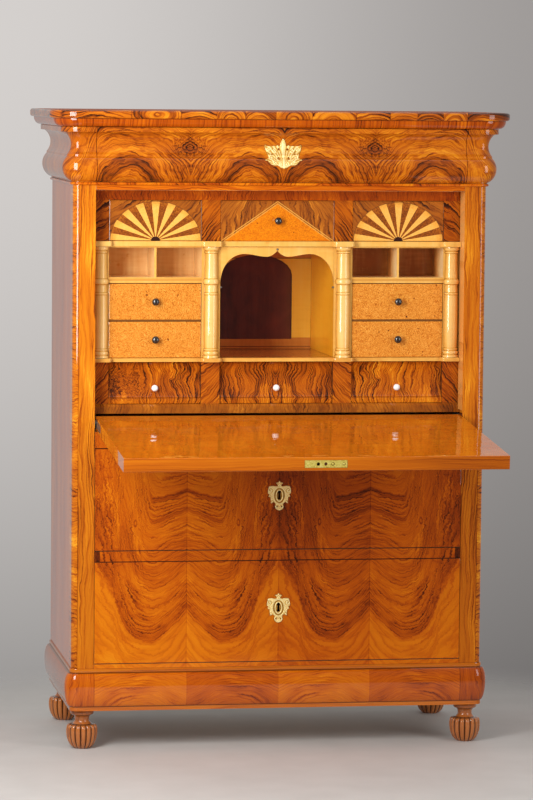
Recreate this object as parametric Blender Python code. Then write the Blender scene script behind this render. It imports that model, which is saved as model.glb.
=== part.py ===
"""Fall front secretaire: veneered walnut carcase on turned feet, with a gallery behind the flap.

Units are metres and +Z is up. Inside the carcase frame Y = 0 is the front of the carcase,
+X is to the right and +Y to the back. The empty named secretaire carries that frame and
places it so that the origin lies under the middle of the object with its flap open.
"""

import math

import bmesh
import bpy
from mathutils import Vector

for old_object in list(bpy.data.objects):
    bpy.data.objects.remove(old_object, do_unlink=True)

# Fits between pieces
fit_gap = 0.0003
running_gap = 0.0008
overrun = 0.010
fuse_overlap = 0.001
merge_distance = 0.000003

# Carcase
carcase_width = 0.981
carcase_depth = 0.475
corner_radius = 0.015
inner_corner_radius = 0.002
side_thickness = 0.022
stile_width = 0.0525
stile_depth = 0.052
back_thickness = 0.012
bottom_rail_height = 0.0105
large_drawer_height = 0.242
middle_rail_height = 0.0245
writing_rail_height = 0.039
flap_cavity_height = 0.038
rail_depth = 0.070
dust_board_thickness = 0.010
guide_height = 0.030

# Plinth and feet
foot_height = 0.0925
foot_radius = 0.0372
foot_disc_radius = 0.0275
foot_neck_radius = 0.0170
foot_inset_x = 0.0295
foot_inset_front = 0.036
foot_inset_back = 0.038
plinth_thickness = 0.050
plinth_fillet_height = 0.010
plinth_torus_height = 0.0805
plinth_astragal_height = 0.0095
plinth_fillet_overhang = 0.003
plinth_torus_overhang = 0.015
plinth_torus_crown = 0.0475
plinth_astragal_overhang = 0.0025

# Cornice and frieze
compartment_top_thickness = 0.012
astragal_height = 0.0075
astragal_overhang = 0.007
astragal_root = 0.003
frieze_height = 0.1155
frieze_fillet_height = 0.0125
frieze_fillet_overhang = 0.029
frieze_bulge_overhang = 0.025
frieze_bulge_level = 0.0335
frieze_bulge_radius = 0.0365
frieze_neck_overhang = 0.0053
frieze_neck_level = 0.0866
frieze_cove_radius = 0.0344
frieze_foot_overhang = 0.0035
ovolo_height = 0.019
ovolo_top_overhang = 0.046
ovolo_bottom_overhang = 0.031
slab_height = 0.019
slab_overhang = 0.055
slab_edge_radius = 0.006
cornice_hollow_front = 0.030

# Gallery inside the flap
gallery_setback = 0.060
gallery_base_height = 0.0215
gallery_base_step = 0.005
base_drawer_height = 0.100
waist_height = 0.0095
burl_drawer_height = 0.0858
burl_divider = 0.0035
pigeon_shelf = 0.0141
pigeon_height = 0.070
pigeon_head = 0.003
pigeon_divider = 0.005
pigeon_depth = 0.125
pigeon_back_thickness = 0.006
gallery_cornice_height = 0.0128
attic_height = 0.096
gallery_top_rail = 0.024
niche_half_width = 0.136
inner_post_width = 0.044
outer_post_width = 0.038
bay_back_thickness = 0.028
nosing_projection = 0.006
ressaut_projection = 0.024
ressaut_half_width = 0.0245
ressaut_round = 0.008
column_radius = 0.0195
niche_rear_space = 0.076
niche_back_thickness = 0.012
niche_recess_depth = 0.006
niche_recess_half_width = 0.0886
niche_recess_sill = 0.0225
niche_recess_spring = 0.1785
niche_recess_rise = 0.050

# Arch fascia over the niche
arch_thickness = 0.008
arch_leg_level = 0.084
arch_crown_drop = 0.0172
arch_crown_x = 0.0785
arch_low_drop = 0.0237
arch_low_x = 0.025
arch_cusp_drop = 0.0095

# Drawers
large_front_thickness = 0.022
large_box_clearance = 0.0357
large_box_side = 0.010
large_box_bottom = 0.007
large_box_drop = 0.017
frieze_front_thickness = 0.020
frieze_box_clearance = 0.043
frieze_box_drop = 0.020
small_front_thickness = 0.012
small_box_side = 0.005
small_box_bottom = 0.004
small_box_drop = 0.006
small_box_clearance = 0.020
cove_depth = 0.013
cove_lip_height = 0.0135
cove_front_thickness = 0.025

# Knobs
burl_knob_radius = 0.009
ivory_knob_radius = 0.0078
knob_length = 0.019
knob_base_radius = 0.0052
knob_stem_radius = 0.0042
knob_stem_length = 0.006
ivory_knob_level = 0.0375

# Flap
flap_thickness = 0.031
flap_end_gap = 0.0036
flap_rail_gap = 0.0045
flap_top_gap = 0.0015
flap_droop = math.radians(4.8)
lever_thickness = 0.004
lever_half_height = 0.010
lever_plate_length = 0.090
lever_plate_depth = 0.0047
lever_hub_radius = 0.0094
lever_pin_radius = 0.004
lever_pin_length = 0.006
lever_slot_lip = 0.0035
lever_slot_gap = 0.0006
lever_slot_clearance = 0.004
lock_half_width = 0.048
lock_offset = 0.0175
lock_plate_width = 0.017
lock_plate_thickness = 0.0015

# Escutcheons
escutcheon_thickness = 0.0022
escutcheon_half_width = 0.0285
escutcheon_height = 0.071
escutcheon_rise = 0.0075
keyhole_radius = 0.0038
keyhole_slot_half = 0.0022
keyhole_foot_half = 0.0035
keyhole_slot_length = 0.017
keyhole_rise = 0.008
ornament_half_width = 0.044
ornament_height = 0.070
ornament_level = 0.068
flap_escutcheon_drop = 0.055

# Facets, and the angles in degrees between which the curves of the frieze run
corner_steps = 6
round_steps = 6
edge_steps = 3
sharp_angle = 35
bulge_trim_angle = 8
bulge_end_angle = 44
cove_start_angle = 222
foot_sides = 24
column_sides = 16
knob_sides = 16
pin_sides = 16

# Levels above the floor
half_width = carcase_width / 2
opening_half = half_width - stile_width
side_inner = half_width - side_thickness
back_inner = carcase_depth - back_thickness
plinth_level = foot_height
carcase_level = plinth_level + plinth_fillet_height + plinth_torus_height + plinth_astragal_height
lower_drawer_level = carcase_level + bottom_rail_height
middle_rail_level = lower_drawer_level + large_drawer_height
upper_drawer_level = middle_rail_level + middle_rail_height
writing_rail_level = upper_drawer_level + large_drawer_height
flap_cavity_level = writing_rail_level + writing_rail_height
gallery_level = flap_cavity_level + flap_cavity_height
base_drawer_level = gallery_level + gallery_base_height
waist_level = base_drawer_level + base_drawer_height
bay_level = waist_level + waist_height
burl_upper_level = bay_level + burl_drawer_height + burl_divider
pigeon_shelf_level = burl_upper_level + burl_drawer_height
pigeon_level = pigeon_shelf_level + pigeon_shelf
gallery_cornice_level = pigeon_level + pigeon_height + pigeon_head
attic_level = gallery_cornice_level + gallery_cornice_height
gallery_top_level = attic_level + attic_height
opening_top = gallery_top_level + gallery_top_rail
astragal_level = opening_top + compartment_top_thickness
frieze_level = astragal_level + astragal_height
ovolo_level = frieze_level + frieze_height + frieze_fillet_height
slab_level = ovolo_level + ovolo_height
overall_height = slab_level + slab_height

# Gallery columns and bays
bay_inner = niche_half_width + inner_post_width
bay_outer = opening_half - outer_post_width
bay_width = bay_outer - bay_inner
bay_centre = (bay_inner + bay_outer) / 2
inner_column_x = niche_half_width + inner_post_width / 2
outer_column_x = (bay_outer + opening_half) / 2
gallery_back = back_inner - fit_gap

# Depths that follow the carcase
bay_depth = back_inner - gallery_setback - bay_back_thickness
niche_depth = back_inner - gallery_setback - niche_back_thickness - niche_rear_space
small_box_depth = bay_depth - small_box_clearance
frieze_box_depth = back_inner - frieze_box_clearance
large_box_depth = back_inner - large_front_thickness - fit_gap - large_box_clearance

# Flap pivot
pivot_y = flap_thickness / 2
pivot_z = flap_cavity_level + flap_rail_gap + flap_thickness / 2
flap_length = opening_top - flap_top_gap - pivot_z
flap_half_width = opening_half - flap_end_gap
flap_reach = flap_length * math.cos(flap_droop) + flap_thickness / 2 * math.sin(flap_droop) - pivot_y
lever_rise = gallery_level - fit_gap - pivot_z - lever_half_height
lever_tail_length = lever_rise / math.sin(flap_droop)
front_shift = (flap_reach - carcase_depth) / 2


def wood(name, colour, roughness):
    """A wood finish in one plain colour."""
    return finish(name, colour, roughness, 0.0)


def finish(name, colour, roughness, metallic):
    """A Principled material with the given base colour, roughness and metallic value."""
    made = bpy.data.materials.new(name)
    made.use_nodes = True
    shader = made.node_tree.nodes["Principled BSDF"]
    shader.inputs["Base Color"].default_value = (*colour, 1.0)
    shader.inputs["Roughness"].default_value = roughness
    shader.inputs["Metallic"].default_value = metallic
    made.diffuse_color = (*colour, 1.0)
    return made


walnut = wood("walnut_veneer", (0.47, 0.16, 0.03), 0.22)
burl = wood("walnut_burl", (0.62, 0.27, 0.06), 0.25)
maple = wood("maple", (0.78, 0.50, 0.20), 0.28)
mahogany = wood("dark_mahogany", (0.10, 0.02, 0.01), 0.25)
pine = wood("pine", (0.62, 0.40, 0.20), 0.60)
turned_walnut = wood("turned_walnut", (0.35, 0.13, 0.03), 0.28)
brass = finish("brass", (0.62, 0.45, 0.18), 0.30, 1.0)
iron = finish("iron", (0.18, 0.17, 0.16), 0.50, 1.0)
ivory = finish("ivory", (0.90, 0.88, 0.82), 0.30, 0.0)
horn = finish("dark_horn", (0.06, 0.05, 0.05), 0.20, 0.0)


def carrier(name, location, parent=None, tilt=0.0):
    """An empty that carries pieces which move together."""
    holder = bpy.data.objects.new(name, None)
    bpy.context.scene.collection.objects.link(holder)
    holder.parent = parent
    holder.location = location
    holder.rotation_euler = (tilt, 0.0, 0.0)
    return holder


def add_piece(name, mesh_data, parent, material, smooth=False):
    """Turns bmesh data into one named object under its parent."""
    bmesh.ops.remove_doubles(mesh_data, verts=mesh_data.verts, dist=merge_distance)
    bmesh.ops.recalc_face_normals(mesh_data, faces=mesh_data.faces)
    mesh = bpy.data.meshes.new(name)
    mesh_data.to_mesh(mesh)
    mesh_data.free()
    piece = bpy.data.objects.new(name, mesh)
    bpy.context.scene.collection.objects.link(piece)
    piece.parent = parent
    if material is not None:
        mesh.materials.append(material)
    if smooth:
        mesh.shade_smooth()
        mesh.set_sharp_from_angle(angle=math.radians(sharp_angle))
    return piece


def add_prism(mesh_data, outline, place, start, end):
    """Extrudes a plane outline between two stations; place turns (u, v, station) into a point."""
    first = [mesh_data.verts.new(place(u, v, start)) for u, v in outline]
    last = [mesh_data.verts.new(place(u, v, end)) for u, v in outline]
    mesh_data.faces.new(first)
    mesh_data.faces.new(list(reversed(last)))
    for index in range(len(outline)):
        after = (index + 1) % len(outline)
        mesh_data.faces.new((first[index], last[index], last[after], first[after]))


def along_x(u, v, station):
    return Vector((station, u, v))


def along_y(u, v, station):
    return Vector((u, station, v))


def along_z(u, v, station):
    return Vector((u, v, station))


def prism(name, outline, place, start, end, parent, material, smooth=False):
    """One extruded piece."""
    mesh_data = bmesh.new()
    add_prism(mesh_data, outline, place, start, end)
    return add_piece(name, mesh_data, parent, material, smooth)


def block(name, low, high, parent, material):
    """One rectangular piece between two corners."""
    outline = [(low[0], low[1]), (high[0], low[1]), (high[0], high[1]), (low[0], high[1])]
    return prism(name, outline, along_z, low[2], high[2], parent, material)


def use_boolean(piece, other, operation):
    """Adds an exact Boolean with another object, which stays out of the model."""
    other.hide_render = True
    other.display_type = "WIRE"
    modifier = piece.modifiers.new(other.name, "BOOLEAN")
    modifier.object = other
    modifier.operation = operation
    modifier.solver = "EXACT"


def cut_box(piece, low, high):
    """Cuts a rectangular space out of a piece."""
    name = piece.name + "_cut_" + str(len(piece.modifiers) + 1)
    use_boolean(piece, block(name, low, high, piece.parent, None), "DIFFERENCE")


def arc(centre_u, centre_v, radius_u, radius_v, start, end, steps):
    """Points of an elliptic arc; the angles are in degrees from the u axis."""
    points = []
    for step in range(steps + 1):
        angle = math.radians(start + (end - start) * step / steps)
        points.append((centre_u + radius_u * math.cos(angle), centre_v + radius_v * math.sin(angle)))
    return points


def revolve(mesh_data, profile, sides, place):
    """Turns a profile of (radius, height), bottom to top, about the height axis."""
    rings = []
    for radius, height in profile:
        if radius == 0:
            rings.append([mesh_data.verts.new(place(0.0, 0.0, height))])
            continue
        ring = []
        for step in range(sides):
            angle = 2 * math.pi * step / sides
            point = place(radius * math.cos(angle), radius * math.sin(angle), height)
            ring.append(mesh_data.verts.new(point))
        rings.append(ring)
    for lower, upper in zip(rings, rings[1:]):
        for step in range(sides):
            after = (step + 1) % sides
            corners = [lower[step % len(lower)], lower[after % len(lower)]]
            corners += [upper[after % len(upper)], upper[step % len(upper)]]
            mesh_data.faces.new(list(dict.fromkeys(corners)))


def turned(name, profile, sides, place, parent, material):
    """One lathe-turned piece."""
    mesh_data = bmesh.new()
    revolve(mesh_data, profile, sides, place)
    return add_piece(name, mesh_data, parent, material, smooth=True)


def corner_path(side, overhang):
    """Plan points round a front corner, from the carcase side to its front."""
    radius = max(corner_radius + overhang, inner_corner_radius)
    centre_x = half_width + overhang - radius
    centre_y = radius - overhang
    quarter = arc(centre_x, centre_y, radius, radius, 0, -90, corner_steps)
    return [(side * x, y) for x, y in quarter]


def sweep(name, paths, heights, closed, parent, material):
    """Lofts plan paths, one for each level; closed also joins the last level to the first."""
    mesh_data = bmesh.new()
    rows = []
    for path, height in zip(paths, heights):
        rows.append([mesh_data.verts.new((x, y, height)) for x, y in path])
    pairs = list(zip(rows, rows[1:]))
    count = len(rows[0])
    if closed:
        pairs.append((rows[-1], rows[0]))
        mesh_data.faces.new([row[0] for row in rows])
        mesh_data.faces.new([row[-1] for row in rows])
        stations = range(count - 1)
    else:
        mesh_data.faces.new(rows[0])
        mesh_data.faces.new(rows[-1])
        stations = range(count)
    for lower, upper in pairs:
        for index in stations:
            after = (index + 1) % count
            mesh_data.faces.new((lower[index], lower[after], upper[after], upper[index]))
    return add_piece(name, mesh_data, parent, material, smooth=True)


def u_path(overhang, back):
    """Plan path round the front and both sides of the carcase."""
    left = [(-half_width - overhang, back)] + corner_path(-1, overhang)
    right = list(reversed(corner_path(1, overhang))) + [(half_width + overhang, back)]
    return left + right


def return_path(side, overhang, back):
    """Plan path from the back, round one front corner, to the drawer opening."""
    start = [(side * (half_width + overhang), back)]
    return start + corner_path(side, overhang) + [(side * opening_half, -overhang)]


def frieze_profile():
    """Frieze section as (overhang, level above its foot): bulge, cove and top fillet."""
    bulge_u = frieze_bulge_overhang - frieze_bulge_radius
    cove_u = frieze_neck_overhang + frieze_cove_radius
    low_angle = math.degrees(math.asin(frieze_bulge_level / frieze_bulge_radius))
    high_angle = math.degrees(math.asin((frieze_height - frieze_neck_level) / frieze_cove_radius))
    points = [(frieze_foot_overhang, 0.0)]
    points += arc(
        bulge_u, frieze_bulge_level, frieze_bulge_radius, frieze_bulge_radius,
        bulge_trim_angle - low_angle, bulge_end_angle, round_steps + 2,
    )
    points += arc(
        cove_u, frieze_neck_level, frieze_cove_radius, frieze_cove_radius,
        cove_start_angle, 180 - high_angle, round_steps,
    )
    points.append((frieze_fillet_overhang, frieze_height))
    points.append((frieze_fillet_overhang, frieze_height + frieze_fillet_height))
    return points


def plinth_profile():
    """Plinth section as (overhang, level above its foot): fillet, torus and astragal."""
    swell = plinth_torus_overhang - plinth_fillet_overhang
    crown = plinth_fillet_height + plinth_torus_crown
    top = plinth_fillet_height + plinth_torus_height
    points = [(plinth_fillet_overhang, 0.0)]
    points += arc(
        plinth_fillet_overhang, crown, swell, plinth_torus_crown, -90, 0, round_steps
    )
    points += arc(
        plinth_fillet_overhang, crown, swell, top - crown, 0, 90, round_steps
    )[1:]
    points.append((plinth_astragal_overhang, top))
    points.append((plinth_astragal_overhang, top + plinth_astragal_height - fit_gap))
    return points


def build_sides(root):
    """Side boards, stiles and back panel."""
    for side, label in ((-1, "left"), (1, "right")):
        low_x, high_x = sorted((side * side_inner, side * half_width))
        block(
            "side_" + label,
            (low_x, stile_depth + fit_gap, carcase_level + fit_gap),
            (high_x, carcase_depth, astragal_level),
            root, walnut,
        )
        outline = [(side * opening_half, 0.0)]
        outline += list(reversed(corner_path(side, 0.0)))
        outline += [(side * half_width, stile_depth), (side * opening_half, stile_depth)]
        stile = prism(
            "stile_" + label, outline, along_z, carcase_level + fit_gap, astragal_level,
            root, walnut, smooth=True,
        )
        cut_lever_slot(stile, side)
    block(
        "back_panel",
        (-side_inner + fit_gap, back_inner, carcase_level + fit_gap),
        (side_inner - fit_gap, carcase_depth, slab_level - 2 * fit_gap),
        root, pine,
    )


def cut_lever_slot(stile, side):
    """Slot and pivot hole in the stile for the iron lever of the flap."""
    slot_depth = lever_slot_gap + lever_thickness + lever_slot_gap
    near = side * (opening_half - overrun)
    far = side * (opening_half + slot_depth)
    low_x, high_x = sorted((near, far))
    rise = stile_depth * math.sin(flap_droop)
    cut_box(
        stile,
        (low_x, lever_slot_lip, pivot_z - lever_tail_length - lever_half_height - lever_slot_clearance),
        (high_x, stile_depth + overrun, pivot_z + lever_half_height + rise + lever_slot_clearance),
    )
    hole_radius = lever_pin_radius + fit_gap
    hole_end = opening_half + slot_depth + lever_pin_length + fit_gap
    outline = arc(pivot_y, pivot_z, hole_radius, hole_radius, 0, 360, pin_sides)[:-1]
    hole = prism(
        stile.name + "_hole", outline, along_x, side * opening_half, side * hole_end,
        stile.parent, None,
    )
    use_boolean(stile, hole, "DIFFERENCE")


def build_boards(root):
    """Bottom board, middle and writing rails with their dust boards, and the frieze floor."""
    wide = side_inner - fit_gap
    narrow = opening_half - fit_gap
    back = back_inner - fit_gap
    bottom = block(
        "bottom_board",
        (-wide, 0.0, carcase_level + fit_gap),
        (wide, back, lower_drawer_level + guide_height),
        root, pine,
    )
    clear_drawer_way(bottom, lower_drawer_level)
    clear_stiles(bottom, stile_depth)
    middle = block(
        "middle_rail",
        (-wide, 0.0, middle_rail_level),
        (wide, back, upper_drawer_level + guide_height),
        root, walnut,
    )
    clear_drawer_way(middle, upper_drawer_level)
    clear_under_dust_board(middle, upper_drawer_level)
    clear_stiles(middle, stile_depth)
    writing = block(
        "writing_rail",
        (-wide, 0.0, writing_rail_level),
        (wide, back, flap_cavity_level),
        root, walnut,
    )
    clear_under_dust_board(writing, flap_cavity_level)
    clear_stiles(writing, lever_tail_length + lever_half_height + pivot_y + lever_slot_clearance)
    build_frieze_floor(root)


def clear_drawer_way(board, level):
    """Leaves a guide along each end of the board, with the drawer's way between them."""
    inner = opening_half
    cut_box(board, (-inner, -overrun, level), (inner, carcase_depth, level + guide_height + overrun))


def clear_under_dust_board(board, level):
    """Thins the board behind its front rail."""
    cut_box(
        board,
        (-half_width, rail_depth, level - writing_rail_height - overrun),
        (half_width, carcase_depth, level - dust_board_thickness),
    )


def clear_stiles(board, depth):
    """Notches both front corners of the board round the stiles."""
    inner = opening_half - fit_gap
    low = carcase_level - overrun
    for side in (-1, 1):
        low_x, high_x = sorted((side * inner, side * (half_width + overrun)))
        cut_box(board, (low_x, -overrun, low), (high_x, depth + fit_gap, overall_height))


def build_frieze_floor(root):
    """Board over the writing compartment, with the astragal on its front and sides."""
    mid = astragal_level + astragal_height / 2
    half = astragal_height / 2
    swell = astragal_overhang - astragal_root
    nose = arc(astragal_root, mid, swell, half - fit_gap, -90, 90, round_steps)
    heights = [height for overhang, height in nose]
    paths = [u_path(overhang, back_inner - fit_gap) for overhang, height in nose]
    board = sweep("astragal_board", paths, heights, False, root, walnut)
    inner = opening_half - fit_gap
    rail = block(
        "astragal_board_rail",
        (-inner, 0.0, opening_top + fit_gap),
        (inner, back_inner - fit_gap, astragal_level + half),
        root, None,
    )
    use_boolean(board, rail, "UNION")


def build_plinth(root):
    """Moulded plinth round the front and the sides."""
    section = plinth_profile() + [
        (-plinth_thickness, plinth_fillet_height + plinth_torus_height + plinth_astragal_height - fit_gap),
        (-plinth_thickness, 0.0),
    ]
    paths = [u_path(overhang, carcase_depth) for overhang, level in section]
    heights = [plinth_level + fit_gap + level for overhang, level in section]
    sweep("plinth", paths, heights, True, root, walnut)


def foot_profile():
    """Outer line of a turned foot, from the floor up, over the crests of its lobes."""
    ball_share = (
        (0.50, 0.0), (0.66, 0.045), (0.86, 0.17), (0.97, 0.32), (1.0, 0.45), (0.985, 0.55),
        (0.91, 0.61), (0.60, 0.645),
    )
    neck_share = ((1.18, 0.68), (1.0, 0.75), (1.0, 0.81), (1.12, 0.85))
    disc_share = ((0.88, 0.875), (1.0, 0.90), (1.0, 0.96), (0.93, 1.0))
    points = [(0.0, 0.0)]
    points += [(foot_radius * wide, foot_height * high) for wide, high in ball_share]
    points += [(foot_neck_radius * wide, foot_height * high) for wide, high in neck_share]
    points += [(foot_disc_radius * wide, foot_height * high) for wide, high in disc_share]
    points.append((0.0, foot_height))
    return points


def build_feet(root):
    """Four turned feet under the plinth."""
    places = (
        ("front_left", -1, foot_inset_front), ("front_right", 1, foot_inset_front),
        ("back_left", -1, carcase_depth - foot_inset_back),
        ("back_right", 1, carcase_depth - foot_inset_back),
    )
    for label, side, foot_y in places:
        foot = turned("foot_" + label, foot_profile(), foot_sides, along_z, root, turned_walnut)
        foot.location = (side * (half_width - foot_inset_x), foot_y, 0.0)


def build_cornice(root):
    """Top slab with the ovolo under it, hollow below the slab."""
    points = arc(
        ovolo_bottom_overhang, slab_level - fit_gap, ovolo_top_overhang - ovolo_bottom_overhang,
        ovolo_height - 2 * fit_gap, -90, 0, round_steps,
    )
    edge = slab_overhang - slab_edge_radius
    round_low = slab_level + slab_edge_radius
    round_high = overall_height - slab_edge_radius
    points += arc(edge, round_low, slab_edge_radius, slab_edge_radius, -90, 0, edge_steps)
    points += arc(edge, round_high, slab_edge_radius, slab_edge_radius, 0, 90, edge_steps)
    paths = [u_path(overhang, carcase_depth) for overhang, level in points]
    heights = [level for overhang, level in points]
    cornice = sweep("cornice", paths, heights, False, root, walnut)
    cut_box(
        cornice,
        (-side_inner, cornice_hollow_front, ovolo_level - overrun),
        (side_inner, carcase_depth + overrun, slab_level - fit_gap),
    )


def build_frieze_returns(root):
    """Moulded ends of the frieze, round both front corners to the back."""
    top = frieze_height + frieze_fillet_height
    section = frieze_profile()
    section[-1] = (section[-1][0], top - fit_gap)
    section += [(-side_thickness, top - fit_gap), (-side_thickness, 0.0)]
    heights = [frieze_level + level for overhang, level in section]
    for side, label in ((-1, "left"), (1, "right")):
        paths = [return_path(side, overhang, carcase_depth) for overhang, level in section]
        sweep("frieze_return_" + label, paths, heights, True, root, walnut)


def nosed_outline():
    """Plan of a gallery board with a rounded ressaut before each column."""
    wide = side_inner - fit_gap
    plain = gallery_setback - nosing_projection
    proud = gallery_setback - ressaut_projection
    reach = opening_half - running_gap
    outline = [(-wide, gallery_back), (-wide, gallery_setback), (-reach, gallery_setback), (-reach, proud)]
    round_y = proud + ressaut_round
    first = -outer_column_x + ressaut_half_width
    outline += arc(first - ressaut_round, round_y, ressaut_round, ressaut_round, -90, 0, edge_steps)
    outline.append((first, plain))
    for centre in (-inner_column_x, inner_column_x):
        low = centre - ressaut_half_width
        high = centre + ressaut_half_width
        outline.append((low, plain))
        outline += arc(low + ressaut_round, round_y, ressaut_round, ressaut_round, 180, 270, edge_steps)
        outline += arc(high - ressaut_round, round_y, ressaut_round, ressaut_round, 270, 360, edge_steps)
        outline.append((high, plain))
    last = -first
    outline.append((last, plain))
    outline += arc(last + ressaut_round, round_y, ressaut_round, ressaut_round, 180, 270, edge_steps)
    outline +=[(reach, proud), (reach, gallery_setback), (wide, gallery_setback), (wide, gallery_back)]
    return outline


def build_gallery_case(root):
    """Base, waist board, bays, cornice board and attic of the gallery."""
    wide = side_inner - fit_gap
    base_front = gallery_setback - gallery_base_step
    outline = [
        (base_front, gallery_level), (gallery_back, gallery_level), (gallery_back, waist_level),
        (gallery_setback, waist_level), (gallery_setback, base_drawer_level),
        (base_front, base_drawer_level - gallery_base_step),
    ]
    base = prism("gallery_base", outline, along_x, -wide, wide, root, walnut)
    ways = ((-bay_outer, -bay_inner), (-niche_half_width, niche_half_width), (bay_inner, bay_outer))
    for low_x, high_x in ways:
        cut_box(
            base,
            (low_x, gallery_setback - nosing_projection - overrun, base_drawer_level),
            (high_x, gallery_setback + bay_depth, waist_level + overrun),
        )
    prism("gallery_waist_board", nosed_outline(), along_z, waist_level + fit_gap, bay_level, root, maple)
    build_bay(root, -1, "left")
    build_bay(root, 1, "right")
    prism(
        "gallery_cornice_board", nosed_outline(), along_z, gallery_cornice_level + fit_gap, attic_level,
        root, maple,
    )
    attic = block(
        "gallery_attic",
        (-wide, gallery_setback, attic_level + fit_gap),
        (wide, gallery_back, opening_top),
        root, walnut,
    )
    for low_x, high_x in ways:
        cut_box(
            attic,
            (low_x, gallery_setback - overrun, attic_level - overrun),
            (high_x, gallery_setback + bay_depth, gallery_top_level),
        )


def build_bay(root, side, label):
    """One side bay: two shallow pigeonholes over two drawer spaces, between the posts.

    The space behind the pigeonholes is open towards the back panel.
    """
    low_x, high_x = sorted((side * niche_half_width, side * (side_inner - fit_gap)))
    bay = block(
        "gallery_bay_" + label,
        (low_x, gallery_setback, bay_level + fit_gap),
        (high_x, gallery_back, gallery_cornice_level),
        root, maple,
    )
    front = gallery_setback - overrun
    back = gallery_setback + bay_depth
    low_x, high_x = sorted((side * bay_inner, side * bay_outer))
    cut_box(bay, (low_x, front, bay_level - overrun), (high_x, back, bay_level + burl_drawer_height))
    cut_box(bay, (low_x, front, burl_upper_level), (high_x, back, pigeon_shelf_level))
    pigeon_top = pigeon_level + pigeon_height
    pigeon_back = gallery_setback + pigeon_depth
    behind = pigeon_back + pigeon_back_thickness
    cut_box(bay, (low_x, behind, pigeon_level), (high_x, gallery_back + overrun, pigeon_top))
    middle = side * bay_centre
    for edge in (-1, 1):
        near = middle + edge * pigeon_divider / 2
        far = middle + edge * bay_width / 2
        hole_low, hole_high = sorted((near, far))
        cut_box(bay, (hole_low, front, pigeon_level), (hole_high, pigeon_back, pigeon_top))


def column_profile():
    """Outer line of a gallery column, from its base up."""
    base_share = ((1.0, 0.0), (1.0, 0.018), (0.90, 0.026), (0.97, 0.038), (0.97, 0.052), (0.86, 0.062),
                  (0.92, 0.074), (0.84, 0.085))
    shaft_share = ((0.88, 0.30), (0.86, 0.55), (0.90, 0.575), (0.84, 0.59), (0.82, 0.655))
    ring_share = ((0.98, 0.665), (1.0, 0.69), (0.94, 0.71), (0.86, 0.715))
    head_share = ((0.80, 0.94), (0.88, 0.95), (0.88, 0.962), (0.98, 0.975), (0.98, 1.0))
    shares = base_share + shaft_share + ring_share + head_share
    height = gallery_cornice_level - bay_level - 2 * fit_gap
    return [(column_radius * wide, bay_level + fit_gap + height * high) for wide, high in shares]


def build_columns(root):
    """Split columns before the posts."""
    places = (
        ("outer_left", -outer_column_x), ("inner_left", -inner_column_x),
        ("inner_right", inner_column_x), ("outer_right", outer_column_x),
    )
    face = gallery_setback - fit_gap
    for label, centre_x in places:
        mesh_data = bmesh.new()
        rows = []
        for radius, height in column_profile():
            half_ring = arc(centre_x, face, radius, radius, 180, 360, column_sides // 2)
            rows.append([mesh_data.verts.new((x, y, height)) for x, y in half_ring])
        for lower, upper in zip(rows, rows[1:]):
            for index in range(len(lower) - 1):
                mesh_data.faces.new((lower[index], lower[index + 1], upper[index + 1], upper[index]))
            mesh_data.faces.new((lower[-1], lower[0], upper[0], upper[-1]))
        mesh_data.faces.new(rows[0])
        mesh_data.faces.new(rows[-1])
        add_piece("column_" + label, mesh_data, root, maple, smooth=True)


def arch_outline():
    """Front view of the arch fascia, left to right along its lower edge, then its top."""
    wide = niche_half_width - fit_gap
    top = gallery_cornice_level - fit_gap
    crown = top - arch_crown_drop
    leg = top - arch_leg_level
    shoulder_x = wide - arch_crown_x
    right = [(wide, leg)]
    right += arc(arch_crown_x, leg, shoulder_x - fit_gap, crown - leg, 0, 90, round_steps + 2)
    low = top - arch_low_drop
    for step in range(1, round_steps + 1):
        share = step / round_steps
        x = arch_crown_x + (arch_low_x - arch_crown_x) * share
        right.append((x, crown + (low - crown) * (1 - math.cos(math.pi * share)) / 2))
    cusp = top - arch_cusp_drop
    for step in range(1, round_steps):
        share = step / round_steps
        right.append((arch_low_x * (1 - share), low + (cusp - low) * share * share))
    left = [(-x, z) for x, z in reversed(right)]
    return [(wide, top)] + right + [(0.0, cusp)] + left + [(-wide, top)]


def build_niche(root):
    """Arch fascia and back board of the middle niche."""
    prism(
        "niche_arch", arch_outline(), along_y, gallery_setback, gallery_setback + arch_thickness,
        root, maple, smooth=True,
    )
    wide = niche_half_width - fit_gap
    front = gallery_setback + niche_depth
    back_board = block(
        "niche_back",
        (-wide, front, bay_level + fit_gap),
        (wide, front + niche_back_thickness, gallery_cornice_level),
        root, mahogany,
    )
    sill = bay_level + niche_recess_sill
    spring = bay_level + niche_recess_spring
    outline = [(-niche_recess_half_width, sill), (niche_recess_half_width, sill)]
    outline += arc(0.0, spring, niche_recess_half_width, niche_recess_rise, 0, 180, 2 * round_steps)
    recess = prism(
        "niche_back_recess", outline, along_y, front - overrun, front + niche_recess_depth, root, None
    )
    use_boolean(back_board, recess, "DIFFERENCE")


def tray(name, outline, half, cavity, parent, material, smooth=False):
    """A drawer: a side outline extruded across its width, with its inside cut from above."""
    drawer = prism(name, outline, along_x, -half, half, parent, material, smooth)
    wall, front, back, floor, rim = cavity
    cut_box(drawer, (-half + wall, front, floor), (half - wall, back - wall, rim + overrun))
    return drawer


def box_outline(front_height, box_height, front_thickness, depth):
    """Side view of a plain drawer whose front stands above its box."""
    return [
        (0.0, 0.0), (depth, 0.0), (depth, box_height), (front_thickness, box_height),
        (front_thickness, front_height), (0.0, front_height),
    ]


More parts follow.
